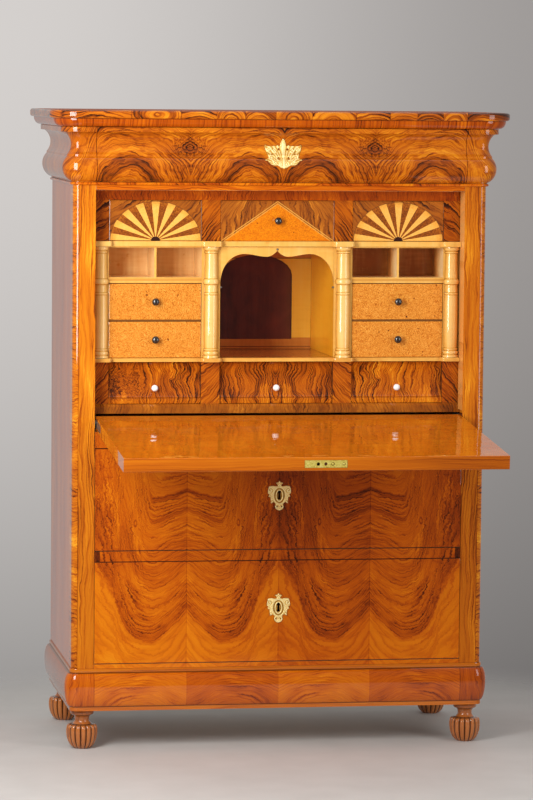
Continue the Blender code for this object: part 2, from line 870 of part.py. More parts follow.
def small_drawer(name, centre_x, level, width, height, parent, material):
    """A flat-fronted gallery drawer; its origin is under the middle of its front."""
    origin = (centre_x, gallery_setback, level + fit_gap)
    slide = carrier(name + "_slide", origin, parent)
    front_height = height - fit_gap - running_gap
    box_height = front_height - small_box_drop
    outline = box_outline(front_height, box_height, small_front_thickness, small_box_depth)
    cavity = (small_box_side, small_front_thickness, small_box_depth, small_box_bottom, front_height)
    tray(name, outline, width / 2 - running_gap, cavity, slide, material)
    return slide, front_height


def cove_outline(height, depth):
    """Side view of a base drawer: concave front over a rounded lip."""
    box_height = height - small_box_drop
    cove_high = height
    cove_low = cove_lip_height
    middle = (cove_high + cove_low) / 2
    half = (cove_high - cove_low) / 2
    front = list(reversed(arc(0.0, middle, cove_depth, half, -90, 90, 2 * round_steps)))
    outline = [(0.0, 0.0), (depth, 0.0), (depth, box_height), (cove_front_thickness, box_height)]
    outline += [(cove_front_thickness, height)]
    outline += front
    return outline


def knob(name, origin, radius, parent, material):
    """A turned knob that stands out from a drawer front towards the user."""
    ball = knob_length - knob_stem_length
    profile = [(0.0, 0.0), (knob_base_radius, 0.0), (knob_stem_radius, knob_stem_length / 2)]
    profile.append((knob_stem_radius, knob_stem_length))
    centre = knob_stem_length + ball / 2
    head = arc(0.0, centre, radius, ball / 2, -60, 60, round_steps)
    profile += head
    profile.append((0.0, knob_length))
    piece = turned(name, profile, knob_sides, outward, parent, material)
    piece.location = origin
    return piece


def outward(u, v, station):
    """A turning axis that points out of a drawer front."""
    return Vector((u, -station, v))


def build_gallery_drawers(root):
    """Ten small drawers of the gallery with their knobs."""
    burl_levels = (("lower", bay_level), ("upper", burl_upper_level))
    for side, label in ((-1, "left"), (1, "right")):
        centre_x = side * bay_centre
        for row, level in burl_levels:
            name = "burl_drawer_" + label + "_" + row
            slide, height = small_drawer(name, centre_x, level, bay_width, burl_drawer_height, root, burl)
            knob(name + "_knob", (0.0, -fit_gap, height / 2), burl_knob_radius, slide, horn)
        small_drawer("fan_drawer_" + label, centre_x, attic_level, bay_width, attic_height, root, walnut)
    slide, height = small_drawer(
        "pediment_drawer", 0.0, attic_level, 2 * niche_half_width, attic_height, root, walnut
    )
    knob("pediment_drawer_knob", (0.0, -fit_gap, height / 2), burl_knob_radius, slide, horn)
    build_base_drawers(root)


def build_base_drawers(root):
    """Three drawers with concave fronts under the waist board."""
    places = (
        ("left", -bay_centre, bay_width), ("centre", 0.0, 2 * niche_half_width),
        ("right", bay_centre, bay_width),
    )
    height = base_drawer_height - fit_gap - running_gap
    for label, centre_x, width in places:
        name = "base_drawer_" + label
        slide = carrier(name + "_slide", (centre_x, gallery_setback, base_drawer_level + fit_gap), root)
        cavity = (small_box_side, cove_front_thickness, small_box_depth, small_box_bottom, height)
        outline = cove_outline(height, small_box_depth)
        tray(name, outline, width / 2 - running_gap, cavity, slide, walnut, smooth=True)
        middle = (height + cove_lip_height) / 2
        half = (height - cove_lip_height) / 2
        lean = (ivory_knob_level - knob_base_radius - middle) / half
        seat = cove_depth * math.sqrt(1 - lean * lean)
        knob(name + "_knob", (0.0, seat - fit_gap, ivory_knob_level), ivory_knob_radius, slide, ivory)


# Right halves of the two brass outlines, as shares of half the width and of the height
cartouche_shares = (
    (0.0, 0.5), (0.10, 0.46), (0.31, 0.42), (0.16, 0.357), (0.25, 0.31), (0.60, 0.33), (0.87, 0.31),
    (0.96, 0.20), (0.99, 0.08), (0.87, 0.045), (0.93, -0.035), (0.76, -0.07), (0.71, -0.26),
    (0.50, -0.22), (0.33, -0.28), (0.37, -0.38), (0.27, -0.455), (0.0, -0.5),
)
winged_shares = (
    (0.0, 0.5), (0.13, 0.36), (0.17, 0.256), (0.33, 0.28), (0.35, 0.256), (0.85, 0.245), (0.93, 0.29),
    (1.0, 0.25), (0.93, 0.06), (0.85, -0.035), (0.82, -0.15), (0.98, -0.20), (0.98, -0.24),
    (0.86, -0.25), (0.82, -0.28), (0.70, -0.36), (0.55, -0.41), (0.38, -0.40), (0.27, -0.43),
    (0.15, -0.49), (0.0, -0.5),
)


def mirrored_outline(shares, half, height, level):
    """Front view of a shaped brass mount, symmetrical about its middle."""
    right = [(half * wide, level + height * high) for wide, high in shares]
    left = [(-x, z) for x, z in reversed(right[1:-1])]
    return right + left


def keyhole_outline(level):
    """Front view of a keyhole: a round eye over a slot that widens downwards."""
    start = math.degrees(math.asin(keyhole_slot_half / keyhole_radius))
    eye = arc(0.0, level, keyhole_radius, keyhole_radius, -90 + start, 270 - start, 2 * round_steps)
    foot = level - keyhole_slot_length
    return eye + [(-keyhole_foot_half, foot), (keyhole_foot_half, foot)]


def escutcheon(name, level, parent):
    """A flat pierced key plate on a drawer front."""
    outline = mirrored_outline(cartouche_shares, escutcheon_half_width, escutcheon_height, level)
    plate = prism(name, outline, along_y, -fit_gap - escutcheon_thickness, -fit_gap, parent, brass)
    outline = keyhole_outline(level + keyhole_rise)
    hole = prism(name + "_keyhole", outline, along_y, -overrun, overrun, parent, None)
    use_boolean(plate, hole, "DIFFERENCE")
    return plate


def build_large_drawers(root):
    """Two large drawers, each with a veneered front, a box behind it and a key plate."""
    for label, level in (("lower", lower_drawer_level), ("upper", upper_drawer_level)):
        name = label + "_drawer"
        slide = carrier(name + "_slide", (0.0, 0.0, level + fit_gap), root)
        half = opening_half - running_gap
        height = large_drawer_height - fit_gap - running_gap
        block(
            name + "_front", (-half, 0.0, running_gap - fit_gap), (half, large_front_thickness, height),
            slide, walnut,
        )
        near = large_front_thickness + fit_gap
        far = near + large_box_depth
        box_height = height - large_box_drop
        box = block(name + "_box", (-half, near, 0.0), (half, far, box_height), slide, pine)
        cut_box(
            box,
            (-half + large_box_side, near - overrun, large_box_bottom),
            (half - large_box_side, far - large_box_side, box_height + overrun),
        )
        escutcheon("escutcheon_" + label, height / 2 + escutcheon_rise, slide)


def build_frieze_drawer(root):
    """Frieze drawer with the moulded front and its winged ornament."""
    slide = carrier("frieze_drawer_slide", (0.0, 0.0, frieze_level + fit_gap), root)
    height = frieze_height + frieze_fillet_height - fit_gap - running_gap
    front = [(-overhang, level) for overhang, level in frieze_profile()]
    front[-1] = (front[-1][0], height)
    box_height = height - frieze_box_drop
    outline = list(reversed(front))
    outline += [
        (frieze_box_depth, 0.0), (frieze_box_depth, box_height), (frieze_front_thickness, box_height),
        (frieze_front_thickness, height),
    ]
    cavity = (large_box_side, frieze_front_thickness, frieze_box_depth, large_box_bottom, height)
    half = opening_half - running_gap
    tray("frieze_drawer", outline, half, cavity, slide, walnut, smooth=True)
    build_ornament(slide)


def build_ornament(slide):
    """Winged brass ornament bent to the frieze."""
    section = frieze_profile()[1:-2]
    near = [(-overhang - fit_gap, level) for overhang, level in section]
    far = [(-overhang - fit_gap - escutcheon_thickness, level) for overhang, level in section]
    skin = prism(
        "escutcheon_frieze", near + list(reversed(far)), along_x,
        -ornament_half_width - overrun, ornament_half_width + overrun, slide, brass,
    )
    outline = mirrored_outline(winged_shares, ornament_half_width, ornament_height, ornament_level)
    shape = prism(
        "escutcheon_frieze_shape", outline, along_y, -slab_overhang - overrun, slab_overhang, slide, None
    )
    use_boolean(skin, shape, "INTERSECT")


def bar_outline(length, half_height, reach):
    """Side view of a bar with a round end about the pivot and another at its tip."""
    if reach > 0:
        tip = arc(length, 0.0, half_height, half_height, -90, 90, round_steps)
        root_end = arc(0.0, 0.0, half_height, half_height, 90, 270, round_steps)
        return tip + root_end
    tip = arc(-length, 0.0, half_height, half_height, 90, 270, round_steps)
    root_end = arc(0.0, 0.0, half_height, half_height, -90, 90, round_steps)
    return root_end + tip


def build_flap(root):
    """Fall flap with its two iron levers, lock plate and key plate; it turns about its pivot."""
    hinge = carrier("flap_hinge", (0.0, pivot_y, pivot_z), root, tilt=flap_droop)
    half = flap_thickness / 2
    outline = [(-flap_length, -half), (0.0, -half)]
    outline += arc(0.0, 0.0, half, half, -90, 90, 2 * round_steps)[1:-1]
    outline += [(0.0, half), (-flap_length, half)]
    panel = prism(
        "flap_panel", outline, along_x, -flap_half_width, flap_half_width, hinge, walnut, smooth=True
    )
    for side, label in ((-1, "left"), (1, "right")):
        build_lever(panel, hinge, side, label)
    seat = lock_plate_thickness + fit_gap
    lock_low = lock_offset - lock_half_width
    lock_high = lock_offset + lock_half_width
    cut_box(
        panel,
        (lock_low - fit_gap, -flap_length - overrun, -lock_plate_width / 2 - fit_gap),
        (lock_high + fit_gap, -flap_length + seat, lock_plate_width / 2 + fit_gap),
    )
    block(
        "flap_lock_plate",
        (lock_low, -flap_length, -lock_plate_width / 2),
        (lock_high, -flap_length + lock_plate_thickness, lock_plate_width / 2),
        hinge, brass,
    )
    build_flap_escutcheon(hinge)


def build_flap_escutcheon(hinge):
    """Key plate on the outer face of the flap, below it while the flap is open."""
    centre = flap_length - flap_escutcheon_drop
    top = -flap_thickness / 2 - fit_gap
    shape = mirrored_outline(cartouche_shares, escutcheon_half_width, escutcheon_height, centre)
    outline = [(x, -y) for x, y in shape]
    plate = prism("escutcheon_flap", outline, along_z, top - escutcheon_thickness, top, hinge, brass)
    outline = [(x, -y) for x, y in keyhole_outline(centre + keyhole_rise)]
    hole = prism("escutcheon_flap_keyhole", outline, along_z, top - overrun, top + overrun, hinge, None)
    use_boolean(plate, hole, "DIFFERENCE")


def build_lever(panel, hinge, side, label):
    """Iron lever: a plate let into the flap's end, a hub, a pin in the stile and a tail."""
    recess_end = flap_half_width - lever_plate_depth
    outline = bar_outline(lever_plate_length, lever_half_height + fit_gap, -1)
    recess = prism(
        panel.name + "_recess_" + label, outline, along_x,
        side * (recess_end - fit_gap), side * (flap_half_width + overrun), hinge, None,
    )
    use_boolean(panel, recess, "DIFFERENCE")
    plate_outer = flap_half_width - fit_gap
    tail_inner = opening_half + lever_slot_gap
    tail_outer = tail_inner + lever_thickness
    lever = prism(
        "flap_lever_" + label, bar_outline(lever_plate_length, lever_half_height, -1), along_x,
        side * recess_end, side * plate_outer, hinge, iron,
    )
    hub_outline = arc(0.0, 0.0, lever_hub_radius, lever_hub_radius, 0, 360, pin_sides)[:-1]
    hub = prism(
        lever.name + "_hub", hub_outline, along_x,
        side * (plate_outer - fuse_overlap), side * (tail_inner + fuse_overlap), hinge, None,
    )
    tail = prism(
        lever.name + "_tail", bar_outline(lever_tail_length, lever_half_height, 1), along_x,
        side * tail_inner, side * tail_outer, hinge, None,
    )
    pin_outline = arc(0.0, 0.0, lever_pin_radius, lever_pin_radius, 0, 360, pin_sides)[:-1]
    pin = prism(
        lever.name + "_pin", pin_outline, along_x,
        side * (tail_outer - fuse_overlap), side * (tail_outer + lever_pin_length), hinge, None,
    )
    for addition in (hub, tail, pin):
        use_boolean(lever, addition, "UNION")


def build():
    """The whole secretaire."""
    root = carrier("secretaire", (0.0, front_shift, 0.0))
    build_feet(root)
    build_plinth(root)
    build_sides(root)
    build_boards(root)
    build_frieze_returns(root)
    build_cornice(root)
    build_gallery_case(root)
    build_columns(root)
    build_niche(root)
    build_large_drawers(root)
    build_frieze_drawer(root)
    build_gallery_drawers(root)
    build_flap(root)


build()
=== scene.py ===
"""Looks of the fall front secretaire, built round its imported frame. Units are metres."""

import math

import bmesh
import bpy
import numpy as np
from mathutils import Matrix, Vector, geometry, kdtree


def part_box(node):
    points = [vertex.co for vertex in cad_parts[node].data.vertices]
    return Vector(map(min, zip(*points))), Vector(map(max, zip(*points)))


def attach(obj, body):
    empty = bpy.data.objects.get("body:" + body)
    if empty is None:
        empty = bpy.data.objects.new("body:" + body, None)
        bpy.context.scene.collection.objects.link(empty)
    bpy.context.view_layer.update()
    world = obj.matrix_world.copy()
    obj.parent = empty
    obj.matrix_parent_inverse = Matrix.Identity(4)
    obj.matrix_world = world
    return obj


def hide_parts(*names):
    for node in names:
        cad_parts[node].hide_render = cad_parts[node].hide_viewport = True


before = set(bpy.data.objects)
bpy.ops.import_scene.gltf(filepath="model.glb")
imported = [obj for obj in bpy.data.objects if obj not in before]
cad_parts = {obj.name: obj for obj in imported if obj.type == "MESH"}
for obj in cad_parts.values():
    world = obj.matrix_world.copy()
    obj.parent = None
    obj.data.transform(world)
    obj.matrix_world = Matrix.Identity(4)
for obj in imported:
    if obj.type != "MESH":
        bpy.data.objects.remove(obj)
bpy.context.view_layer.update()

# Planes and lines of the carcase, read from the frame
rail_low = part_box("middle_rail")[0]
stile_low, stile_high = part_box("stile_left")
drawer_low, drawer_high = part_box("lower_drawer_front")
slab_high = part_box("cornice")[1]
drawer_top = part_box("upper_drawer_front")[0].z
attic_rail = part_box("fan_drawer_left")[1].z + 0.0008
overall = slab_high.z
gallery_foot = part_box("gallery_base")[0].z
writing_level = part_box("writing_rail")[0].z
front_y = rail_low.y
half_width = -stile_low.x
opening_half = -stile_high.x
back_y = slab_high.y
corner_radius = 0.015
droop = math.radians(4.8)
seam_x = opening_half / 2
fit_gap = 0.0003
running_gap = 0.0008
strip_width = 0.0135
front_thickness = 0.012
slab_thickness = 0.019

# Finishes
coat_ior = 1.5
polish_roughness = 0.03


class Field:
    """A number or colour that varies over a surface; arithmetic on it adds Math nodes."""

    def __init__(self, tree, socket):
        self.tree = tree
        self.socket = socket

    def __add__(self, other):
        return maths("ADD", self, other)

    def __radd__(self, other):
        return maths("ADD", other, self)

    def __sub__(self, other):
        return maths("SUBTRACT", self, other)

    def __rsub__(self, other):
        return maths("SUBTRACT", other, self)

    def __mul__(self, other):
        return maths("MULTIPLY", self, other)

    def __rmul__(self, other):
        return maths("MULTIPLY", other, self)

    def __truediv__(self, other):
        return maths("DIVIDE", self, other)

    def __pow__(self, other):
        return maths("POWER", self, other)


def plug(tree, value, socket):
    """Links a field to a socket, or sets a plain value there."""
    if isinstance(value, Field):
        tree.links.new(value.socket, socket)
    elif isinstance(value, tuple) and len(value) == 3 and len(socket.default_value) == 4:
        socket.default_value = (*value, 1.0)
    else:
        socket.default_value = value


def maths(operation, *values, clamp=False):
    """Adds a Math node over fields and numbers."""
    tree = next(value.tree for value in values if isinstance(value, Field))
    node = tree.nodes.new("ShaderNodeMath")
    node.operation = operation
    node.use_clamp = clamp
    for index, value in enumerate(values):
        plug(tree, value, node.inputs[index])
    return Field(tree, node.outputs[0])


def size_of(value):
    """The value without its sign."""
    return maths("ABSOLUTE", value)


def distance(first, second):
    """Length of the vector with these two parts."""
    return maths("SQRT", first * first + second * second)


def above(value, limit):
    """1 where the value is over the limit, otherwise 0."""
    return maths("GREATER_THAN", value, limit)


def clamped(value):
    """The value held between 0 and 1."""
    return maths("ADD", value, 0.0, clamp=True)


def smooth(value, low, high):
    """0 at low and 1 at high, with a soft step between them."""
    node = value.tree.nodes.new("ShaderNodeMapRange")
    node.interpolation_type = "SMOOTHSTEP"
    plug(value.tree, value, node.inputs["Value"])
    node.inputs["From Min"].default_value = low
    node.inputs["From Max"].default_value = high
    return Field(value.tree, node.outputs["Result"])


def vector(x, y, z):
    """Three fields as one vector."""
    tree = next(value.tree for value in (x, y, z) if isinstance(value, Field))
    node = tree.nodes.new("ShaderNodeCombineXYZ")
    for index, value in enumerate((x, y, z)):
        plug(tree, value, node.inputs[index])
    return Field(tree, node.outputs[0])


def noise(x, y, z, detail=2.0, rough=0.5, distortion=0.0):
    """Soft noise from about 0 to 1 with features one unit wide."""
    place = vector(x, y, z)
    node = place.tree.nodes.new("ShaderNodeTexNoise")
    node.noise_dimensions = "3D"
    plug(place.tree, place, node.inputs["Vector"])
    node.inputs["Scale"].default_value = 1.0
    node.inputs["Detail"].default_value = detail
    node.inputs["Roughness"].default_value = rough
    node.inputs["Distortion"].default_value = distortion
    return Field(place.tree, node.outputs[0])


def sway_of(x, y, z, **detail):
    """Soft noise about zero."""
    return noise(x, y, z, **detail) - 0.5


def line_at(value, place, outer, inner):
    """1 where the value is within inner of a place, fading to 0 at outer."""
    return smooth(size_of(value - place), outer, inner)


def ridged(value, sharpness):
    """1 along the lines where noise crosses its middle, falling off on both sides."""
    ridge = 1.0 - size_of(value - 0.5) * 2.0
    return ridge ** sharpness


def ramp(value, stops):
    """Colour at each share between the stops (position, colour)."""
    node = value.tree.nodes.new("ShaderNodeValToRGB")
    elements = node.color_ramp.elements
    while len(elements) < len(stops):
        elements.new(0.5)
    for element, (position, colour) in zip(elements, stops):
        element.position = position
        element.color = (*colour, 1.0)
    plug(value.tree, value, node.inputs["Fac"])
    return Field(value.tree, node.outputs["Color"])


def blend(share, first, second):
    """Mixes two colours."""
    tree = next(value.tree for value in (share, first, second) if isinstance(value, Field))
    node = tree.nodes.new("ShaderNodeMix")
    node.data_type = "RGBA"
    plug(tree, share, node.inputs[0])
    plug(tree, first, node.inputs[6])
    plug(tree, second, node.inputs[7])
    return Field(tree, node.outputs[2])


def scaled(colour, strength):
    """Colour made lighter or darker by a field."""
    tree = colour.tree
    node = tree.nodes.new("ShaderNodeVectorMath")
    node.operation = "SCALE"
    plug(tree, colour, node.inputs[0])
    plug(tree, strength, node.inputs["Scale"])
    return Field(tree, node.outputs[0])


def new_material(name):
    """A material with node tree; returns it and its tree."""
    made = bpy.data.materials.new(name)
    made.use_nodes = True
    return made, made.node_tree


def parts_of(tree, socket):
    """The three parts of a vector."""
    split = tree.nodes.new("ShaderNodeSeparateXYZ")
    tree.links.new(socket, split.inputs[0])
    return [Field(tree, output) for output in split.outputs]


def places(tree):
    """Object coordinates, which are the places at rest in metres."""
    return parts_of(tree, tree.nodes.new("ShaderNodeTexCoord").outputs["Object"])


def grain_map(tree):
    """Lengths along a moulding and round its section, in metres."""
    coordinates = tree.nodes.new("ShaderNodeUVMap")
    coordinates.uv_map = "Grain"
    return parts_of(tree, coordinates.outputs["UV"])[:2]


materials = {}


def surface(key, name, **traits):
    """Makes a material with the function below, which gets its tree, the place at rest and the traits."""

    def make(paint):
        made, tree = new_material(name)
        paint(tree, *places(tree), **traits)
        materials[key] = made
        return paint

    return make


def dress(tree, colour, roughness, height=None, bump=0.0, coat=1.0, metallic=0.0, specular=0.5,
          coat_roughness=polish_roughness):
    """Feeds the fields into the surface shader of a material."""
    shader = tree.nodes["Principled BSDF"]
    plug(tree, colour, shader.inputs["Base Color"])
    plug(tree, roughness, shader.inputs["Roughness"])
    shader.inputs["Metallic"].default_value = metallic
    shader.inputs["Specular IOR Level"].default_value = specular
    shader.inputs["Coat Weight"].default_value = coat
    shader.inputs["Coat Roughness"].default_value = coat_roughness
    shader.inputs["Coat IOR"].default_value = coat_ior
    if height is not None:
        node = tree.nodes.new("ShaderNodeBump")
        node.inputs["Strength"].default_value = 1.0
        node.inputs["Distance"].default_value = bump
        plug(tree, height, node.inputs["Height"])
        tree.links.new(node.outputs["Normal"], shader.inputs["Normal"])
        tree.links.new(node.outputs["Normal"], shader.inputs["Coat Normal"])


# Walnut

walnut_stops = (
    (0.00, (0.86, 0.33, 0.012)), (0.22, (0.69, 0.180, 0.004)), (0.42, (0.51, 0.094, 0.003)),
    (0.60, (0.31, 0.045, 0.003)), (0.80, (0.125, 0.020, 0.003)), (1.00, (0.034, 0.008, 0.003)),
)
golden_stops = (
    (0.00, (0.84, 0.40, 0.045)), (0.22, (0.66, 0.235, 0.020)), (0.42, (0.44, 0.125, 0.010)),
    (0.60, (0.25, 0.060, 0.007)), (0.80, (0.10, 0.026, 0.006)), (1.00, (0.030, 0.011, 0.006)),
)
amber_stops = (
    (0.00, (0.86, 0.37, 0.022)), (0.22, (0.69, 0.215, 0.009)), (0.42, (0.49, 0.112, 0.005)),
    (0.60, (0.29, 0.054, 0.004)), (0.80, (0.115, 0.023, 0.004)), (1.00, (0.032, 0.010, 0.004)),
)


def growth_lines(bent, first, second, seed, pitch, sharpness):
    """Dark lines at the end of each season's growth, about pitch to a metre, of uneven strength."""
    pace = bent * pitch + noise(bent * pitch * 0.25, first * 7.0, second * 7.0 + seed, detail=1.0) * 4.0
    season = maths("FLOOR", pace)
    share = maths("FRACT", pace)
    chance = noise(season * 3.71, first * 13.0, second * 13.0 + seed, detail=1.0)
    return share ** sharpness * smooth(share, 1.0, 0.94) * smooth(chance, 0.36, 0.62)


def bent_figure(across, first, second, seed, weight=1.0, coarse=1.0):
    """Darkness of figured walnut, and across with its bends.

    The growth lines lie where across, in metres, is level.
    """
    wiggle = sway_of(first * 60.0, second * 60.0, seed + 1.7, detail=3.0, rough=0.6)
    drift = sway_of(first * 11.0, second * 11.0, seed + 5.2, detail=1.0)
    bent = across + wiggle * 0.0095 + drift * 0.026
    band = sway_of(bent * 22.0 * coarse, first * 4.0, second * 4.0 + seed, detail=2.0)
    major = ridged(noise(bent * 92.0 * coarse, first * 8.0, second * 8.0 + seed, detail=1.0), 15.0)
    pale = ridged(noise(bent * 160.0, first * 18.0, second * 18.0 + seed + 4.0, detail=1.0), 6.0)
    gate = smooth(noise(bent * 14.0, first * 11.0, second * 11.0 + seed, detail=2.0), 0.32, 0.66)
    glow = smooth(noise(bent * 16.0, first * 9.0, second * 9.0 + seed + 9.0, detail=2.0), 0.50, 0.70)
    hair = sway_of(bent * 700.0, first * 45.0, second * 45.0 + seed, detail=2.0)
    lines = major * (0.05 + gate * 0.15)
    lines = lines + growth_lines(bent, first, second, seed, 112.0 * coarse, 5.0) * (0.20 + gate * 0.46)
    lines = lines + growth_lines(bent, first, second, seed + 3.0, 270.0 * coarse, 3.0) * (0.12 + gate * 0.16)
    return 0.31 + band * 0.28 + (lines - pale * glow * 0.22) * weight + hair * 0.17, bent


def walnut_figure(across, first, second, seed, **strength):
    """Darkness of figured walnut alone."""
    return bent_figure(across, first, second, seed, **strength)[0]


def walnut_colour(darkness, stops=walnut_stops):
    """Colour of walnut for its darkness."""
    return ramp(clamped(darkness), stops)


def polished(tree, colour, relief, x, y, z):
    """French polish over veneer: mirror coat, with faint hollows of the hand-laid surface."""
    sway = noise(x * 7.0, y * 7.0, z * 7.0, detail=1.0)
    height = sway * 0.9 + relief * 0.012
    dress(tree, colour, 0.42, height, bump=0.0012, specular=0.0)


def leaf_fields(x):
    """Distance from the seams between mirrored leaves, and 1 on every second leaf."""
    side = size_of(x)
    from_seam = size_of(side - seam_x)
    outer = above(side, seam_x)
    right = above(x, 0.0)
    alternate = size_of(outer - right)
    return from_seam, alternate


def leaf_seams(from_seam, x):
    """1 on the joints between leaves, in the middle and on both sides."""
    return smooth(from_seam, 0.0011, 0.0004) + smooth(size_of(x), 0.0011, 0.0004)


@surface("front", "front_veneer")
def paint_front_veneer(tree, x, y, z):
    """Matched leaves over the large drawers and the rails."""
    u, alternate = leaf_fields(x)
    # Nested bowls with upright arms, folded up to a peak on each seam between the leaves
    peak_width, arms_start, bowl_top, squareness = 0.078, 0.083, 0.70, 3.2
    jitter = sway_of(u * 150.0, z * 150.0, 5.0, detail=2.0)
    warp = sway_of(u * 75.0, z * 95.0, 15.0, detail=3.0, rough=0.6)
    fold = clamped(1.0 - u / peak_width) ** 1.4 * (0.028 + 0.045 * smooth(z, 0.52, 0.36))
    aside = u + (jitter * 0.004 + warp * 0.013) * smooth(u, 0.0, 0.02)
    spread = aside + 0.21 * clamped((aside - arms_start) / 0.090)
    bowl = clamped(spread) ** squareness + clamped(bowl_top - z + fold) ** squareness
    across = bowl ** (1.0 / squareness) + jitter * 0.0065
    busy = smooth(across, 0.30, 0.42) * smooth(across, 0.458, 0.446)
    darkness, bent = bent_figure(across, u, z, 2.0, weight=0.95 + busy * 0.25)
    upright = growth_lines(aside - z * 0.12, u, z, 31.0, 125.0, 4.0)
    darkness = darkness + upright * smooth(u, 0.085, 0.115) * smooth(z, 0.34, 0.46) * 0.26
    # A dark festoon hangs between the peaks, with a calm pale zone below it
    festoon = smooth(bent, 0.375, 0.438) * smooth(bent, 0.450, 0.442)
    calm = smooth(bent, 0.444, 0.456)
    soft_lines = ridged(noise(bent * 55.0, u * 9.0, z * 9.0, detail=1.0), 7.0)
    darkness = darkness * (1.0 - calm * 0.72) + calm * (0.115 + soft_lines * 0.16) + festoon * 0.09
    tangle = noise(u * 44.0, z * 60.0, 12.0, detail=3.0, distortion=1.2)
    darkness = darkness + smooth(tangle, 0.54, 0.70) * smooth(bent, 0.30, 0.40) * (1.0 - calm) * 0.10
    crown = line_at(bent, 0.119, 0.007, 0.002) + line_at(bent, 0.163, 0.006, 0.002)
    arms = smooth(u, 0.11, 0.17) * smooth(z, 0.36, 0.46)
    knot_side, knot_level = 0.122, 0.535
    knot = distance(u - knot_side + jitter * 0.006, (z - knot_level) * 0.42)
    darkness = darkness + crown * smooth(u, 0.12, 0.07) * 0.18 + arms * 0.06
    darkness = darkness + line_at(knot, 0.0030, 0.0016, 0.0004) * 0.24
    tone = sway_of(x * 3.0, z * 3.0, 9.0, detail=1.0)
    # Leaves differ in tone at random; the rise towards the right is painted shade from the light on the left,
    # and the rise at the top right is the flap's painted shadow on the upper drawer
    tone_and_shade = (alternate - 0.5) * 0.07 + tone * 0.20 + smooth(x, -0.42, -0.12) * 0.12
    tone_and_shade = tone_and_shade + smooth(x, -0.10, 0.30) * 0.03 + smooth(z, 0.46, 0.50) * smooth(x, -0.3, 0.1) * 0.05
    seam = leaf_seams(u, x)
    rail = above(z, rail_low.z) - above(z, drawer_top)
    end_block = above(size_of(x), opening_half - strip_width) * rail
    # Dark lines along the drawer edges and the rail are painted shade in the gaps round the drawers
    gap_shade = line_at(size_of(x), opening_half, 0.0014, 0.0006)
    for level in (drawer_low.z, drawer_high.z, drawer_top, writing_level):
        gap_shade = gap_shade + line_at(z, level, 0.0015, 0.0008)
    darkness = darkness + tone_and_shade + seam * 0.14 + end_block * 0.38 - 0.065
    colour = walnut_colour(darkness + clamped(gap_shade) * 0.5)
    polished(tree, colour, darkness, x, y, z)


@surface("stile", "stile_veneer")
def paint_stile_veneer(tree, x, y, z):
    """Upright grain on the stiles, with a cross-banded strip round the corner."""
    u = leaf_fields(x)[0]
    sway = sway_of(z * 2.2, x * 3.0, 4.0, detail=1.0)
    wave = sway_of(z * 8.0, x * 6.0, 6.0, detail=2.0)
    across = u + sway * 0.05 + wave * 0.022
    darkness = walnut_figure(across, u, z * 0.35, 7.0, weight=1.25)
    strip_edge = half_width - strip_width
    strip = above(size_of(x), strip_edge)
    ticks = walnut_figure(z + sway * 0.02, u * 3.0, z, 11.0, weight=1.25, coarse=1.1)
    line = line_at(size_of(x), strip_edge, 0.0008, 0.0003)
    # The rise towards the right makes the right stile darker, as painted shade
    banded = ticks * strip + (darkness - 0.02 + smooth(x, -0.2, 0.3) * 0.06) * (1.0 - strip)
    colour = walnut_colour(banded + line * 0.35 - 0.02, amber_stops)
    reveal = above(opening_half + 0.0004, size_of(x)) * above(y, front_y + 0.002)
    pale = ramp(
        clamped(darkness * 0.8),
        ((0.0, (0.90, 0.48, 0.15)), (0.4, (0.74, 0.30, 0.060)), (1.0, (0.25, 0.07, 0.012))),
    )
    colour = blend(reveal, colour, pale)
    polished(tree, colour, banded, x, y, z)


@surface("side", "side_veneer")
def paint_side_veneer(tree, x, y, z):
    """Plain upright grain on the sides of the carcase."""
    sway = sway_of(z * 1.6, y * 3.0, x * 3.0, detail=1.0)
    across = y + sway * 0.06
    darkness = walnut_figure(across, y, z * 0.25, 17.0, weight=0.85)
    board_joint = front_y + 0.235
    joint = line_at(y, board_joint, 0.0012, 0.0004)
    colour = walnut_colour(darkness + 0.05 + joint * 0.25)
    polished(tree, colour, darkness, x, y, z)


@surface("frieze", "frieze_veneer")
def paint_frieze_veneer(tree, x, y, z):
    """Matched crotch leaves on the frieze: domes, and a dark eye on each seam."""
    s, t = grain_map(tree)
    u, alternate = leaf_fields(s)
    drift = sway_of(u * 13.0, t * 15.0, 4.0, detail=2.0)
    sway = sway_of(u * 15.0, t * 12.0, 14.0, detail=2.0)
    dome_side, eye_level = 0.143, 0.092
    domes = distance(u - dome_side + drift * 0.045, t * 1.12 + sway * 0.040)
    eye = distance(u * 0.8, (t - eye_level) * 1.5)
    eye_core = smooth(eye, 0.045, 0.0)
    beyond = smooth(u, 0.205, 0.30)
    across = domes + eye_core * 0.045 + beyond * (t * 0.5 + u * 0.3)
    darkness, bent = bent_figure(across, u, t, 21.0, weight=1.35)
    moved = bent - across
    core = smooth(domes + moved, 0.050, 0.030)
    dark_band = line_at(domes + moved, 0.060, 0.030, 0.002)
    light_band = line_at(domes + moved, 0.100, 0.022, 0.004)
    rubbed = smooth(noise(u * 26.0, t * 34.0, 5.0, detail=3.0, distortion=1.5), 0.52, 0.66)
    spots = smooth(noise(u * 160.0, t * 260.0, 3.0, detail=2.0), 0.52, 0.62) * smooth(eye, 0.042, 0.016)
    darkness = darkness - core * 0.12 + dark_band * 0.20 - light_band * 0.10 + spots * 0.60 + rubbed * 0.12
    darkness = darkness + eye_core * 0.20 + alternate * 0.04 + 0.055
    joint = line_at(size_of(s), opening_half, 0.0012, 0.0006)
    colour = walnut_colour(darkness + joint * 0.2 - 0.035, amber_stops)
    polished(tree, colour, darkness, x, y, z)


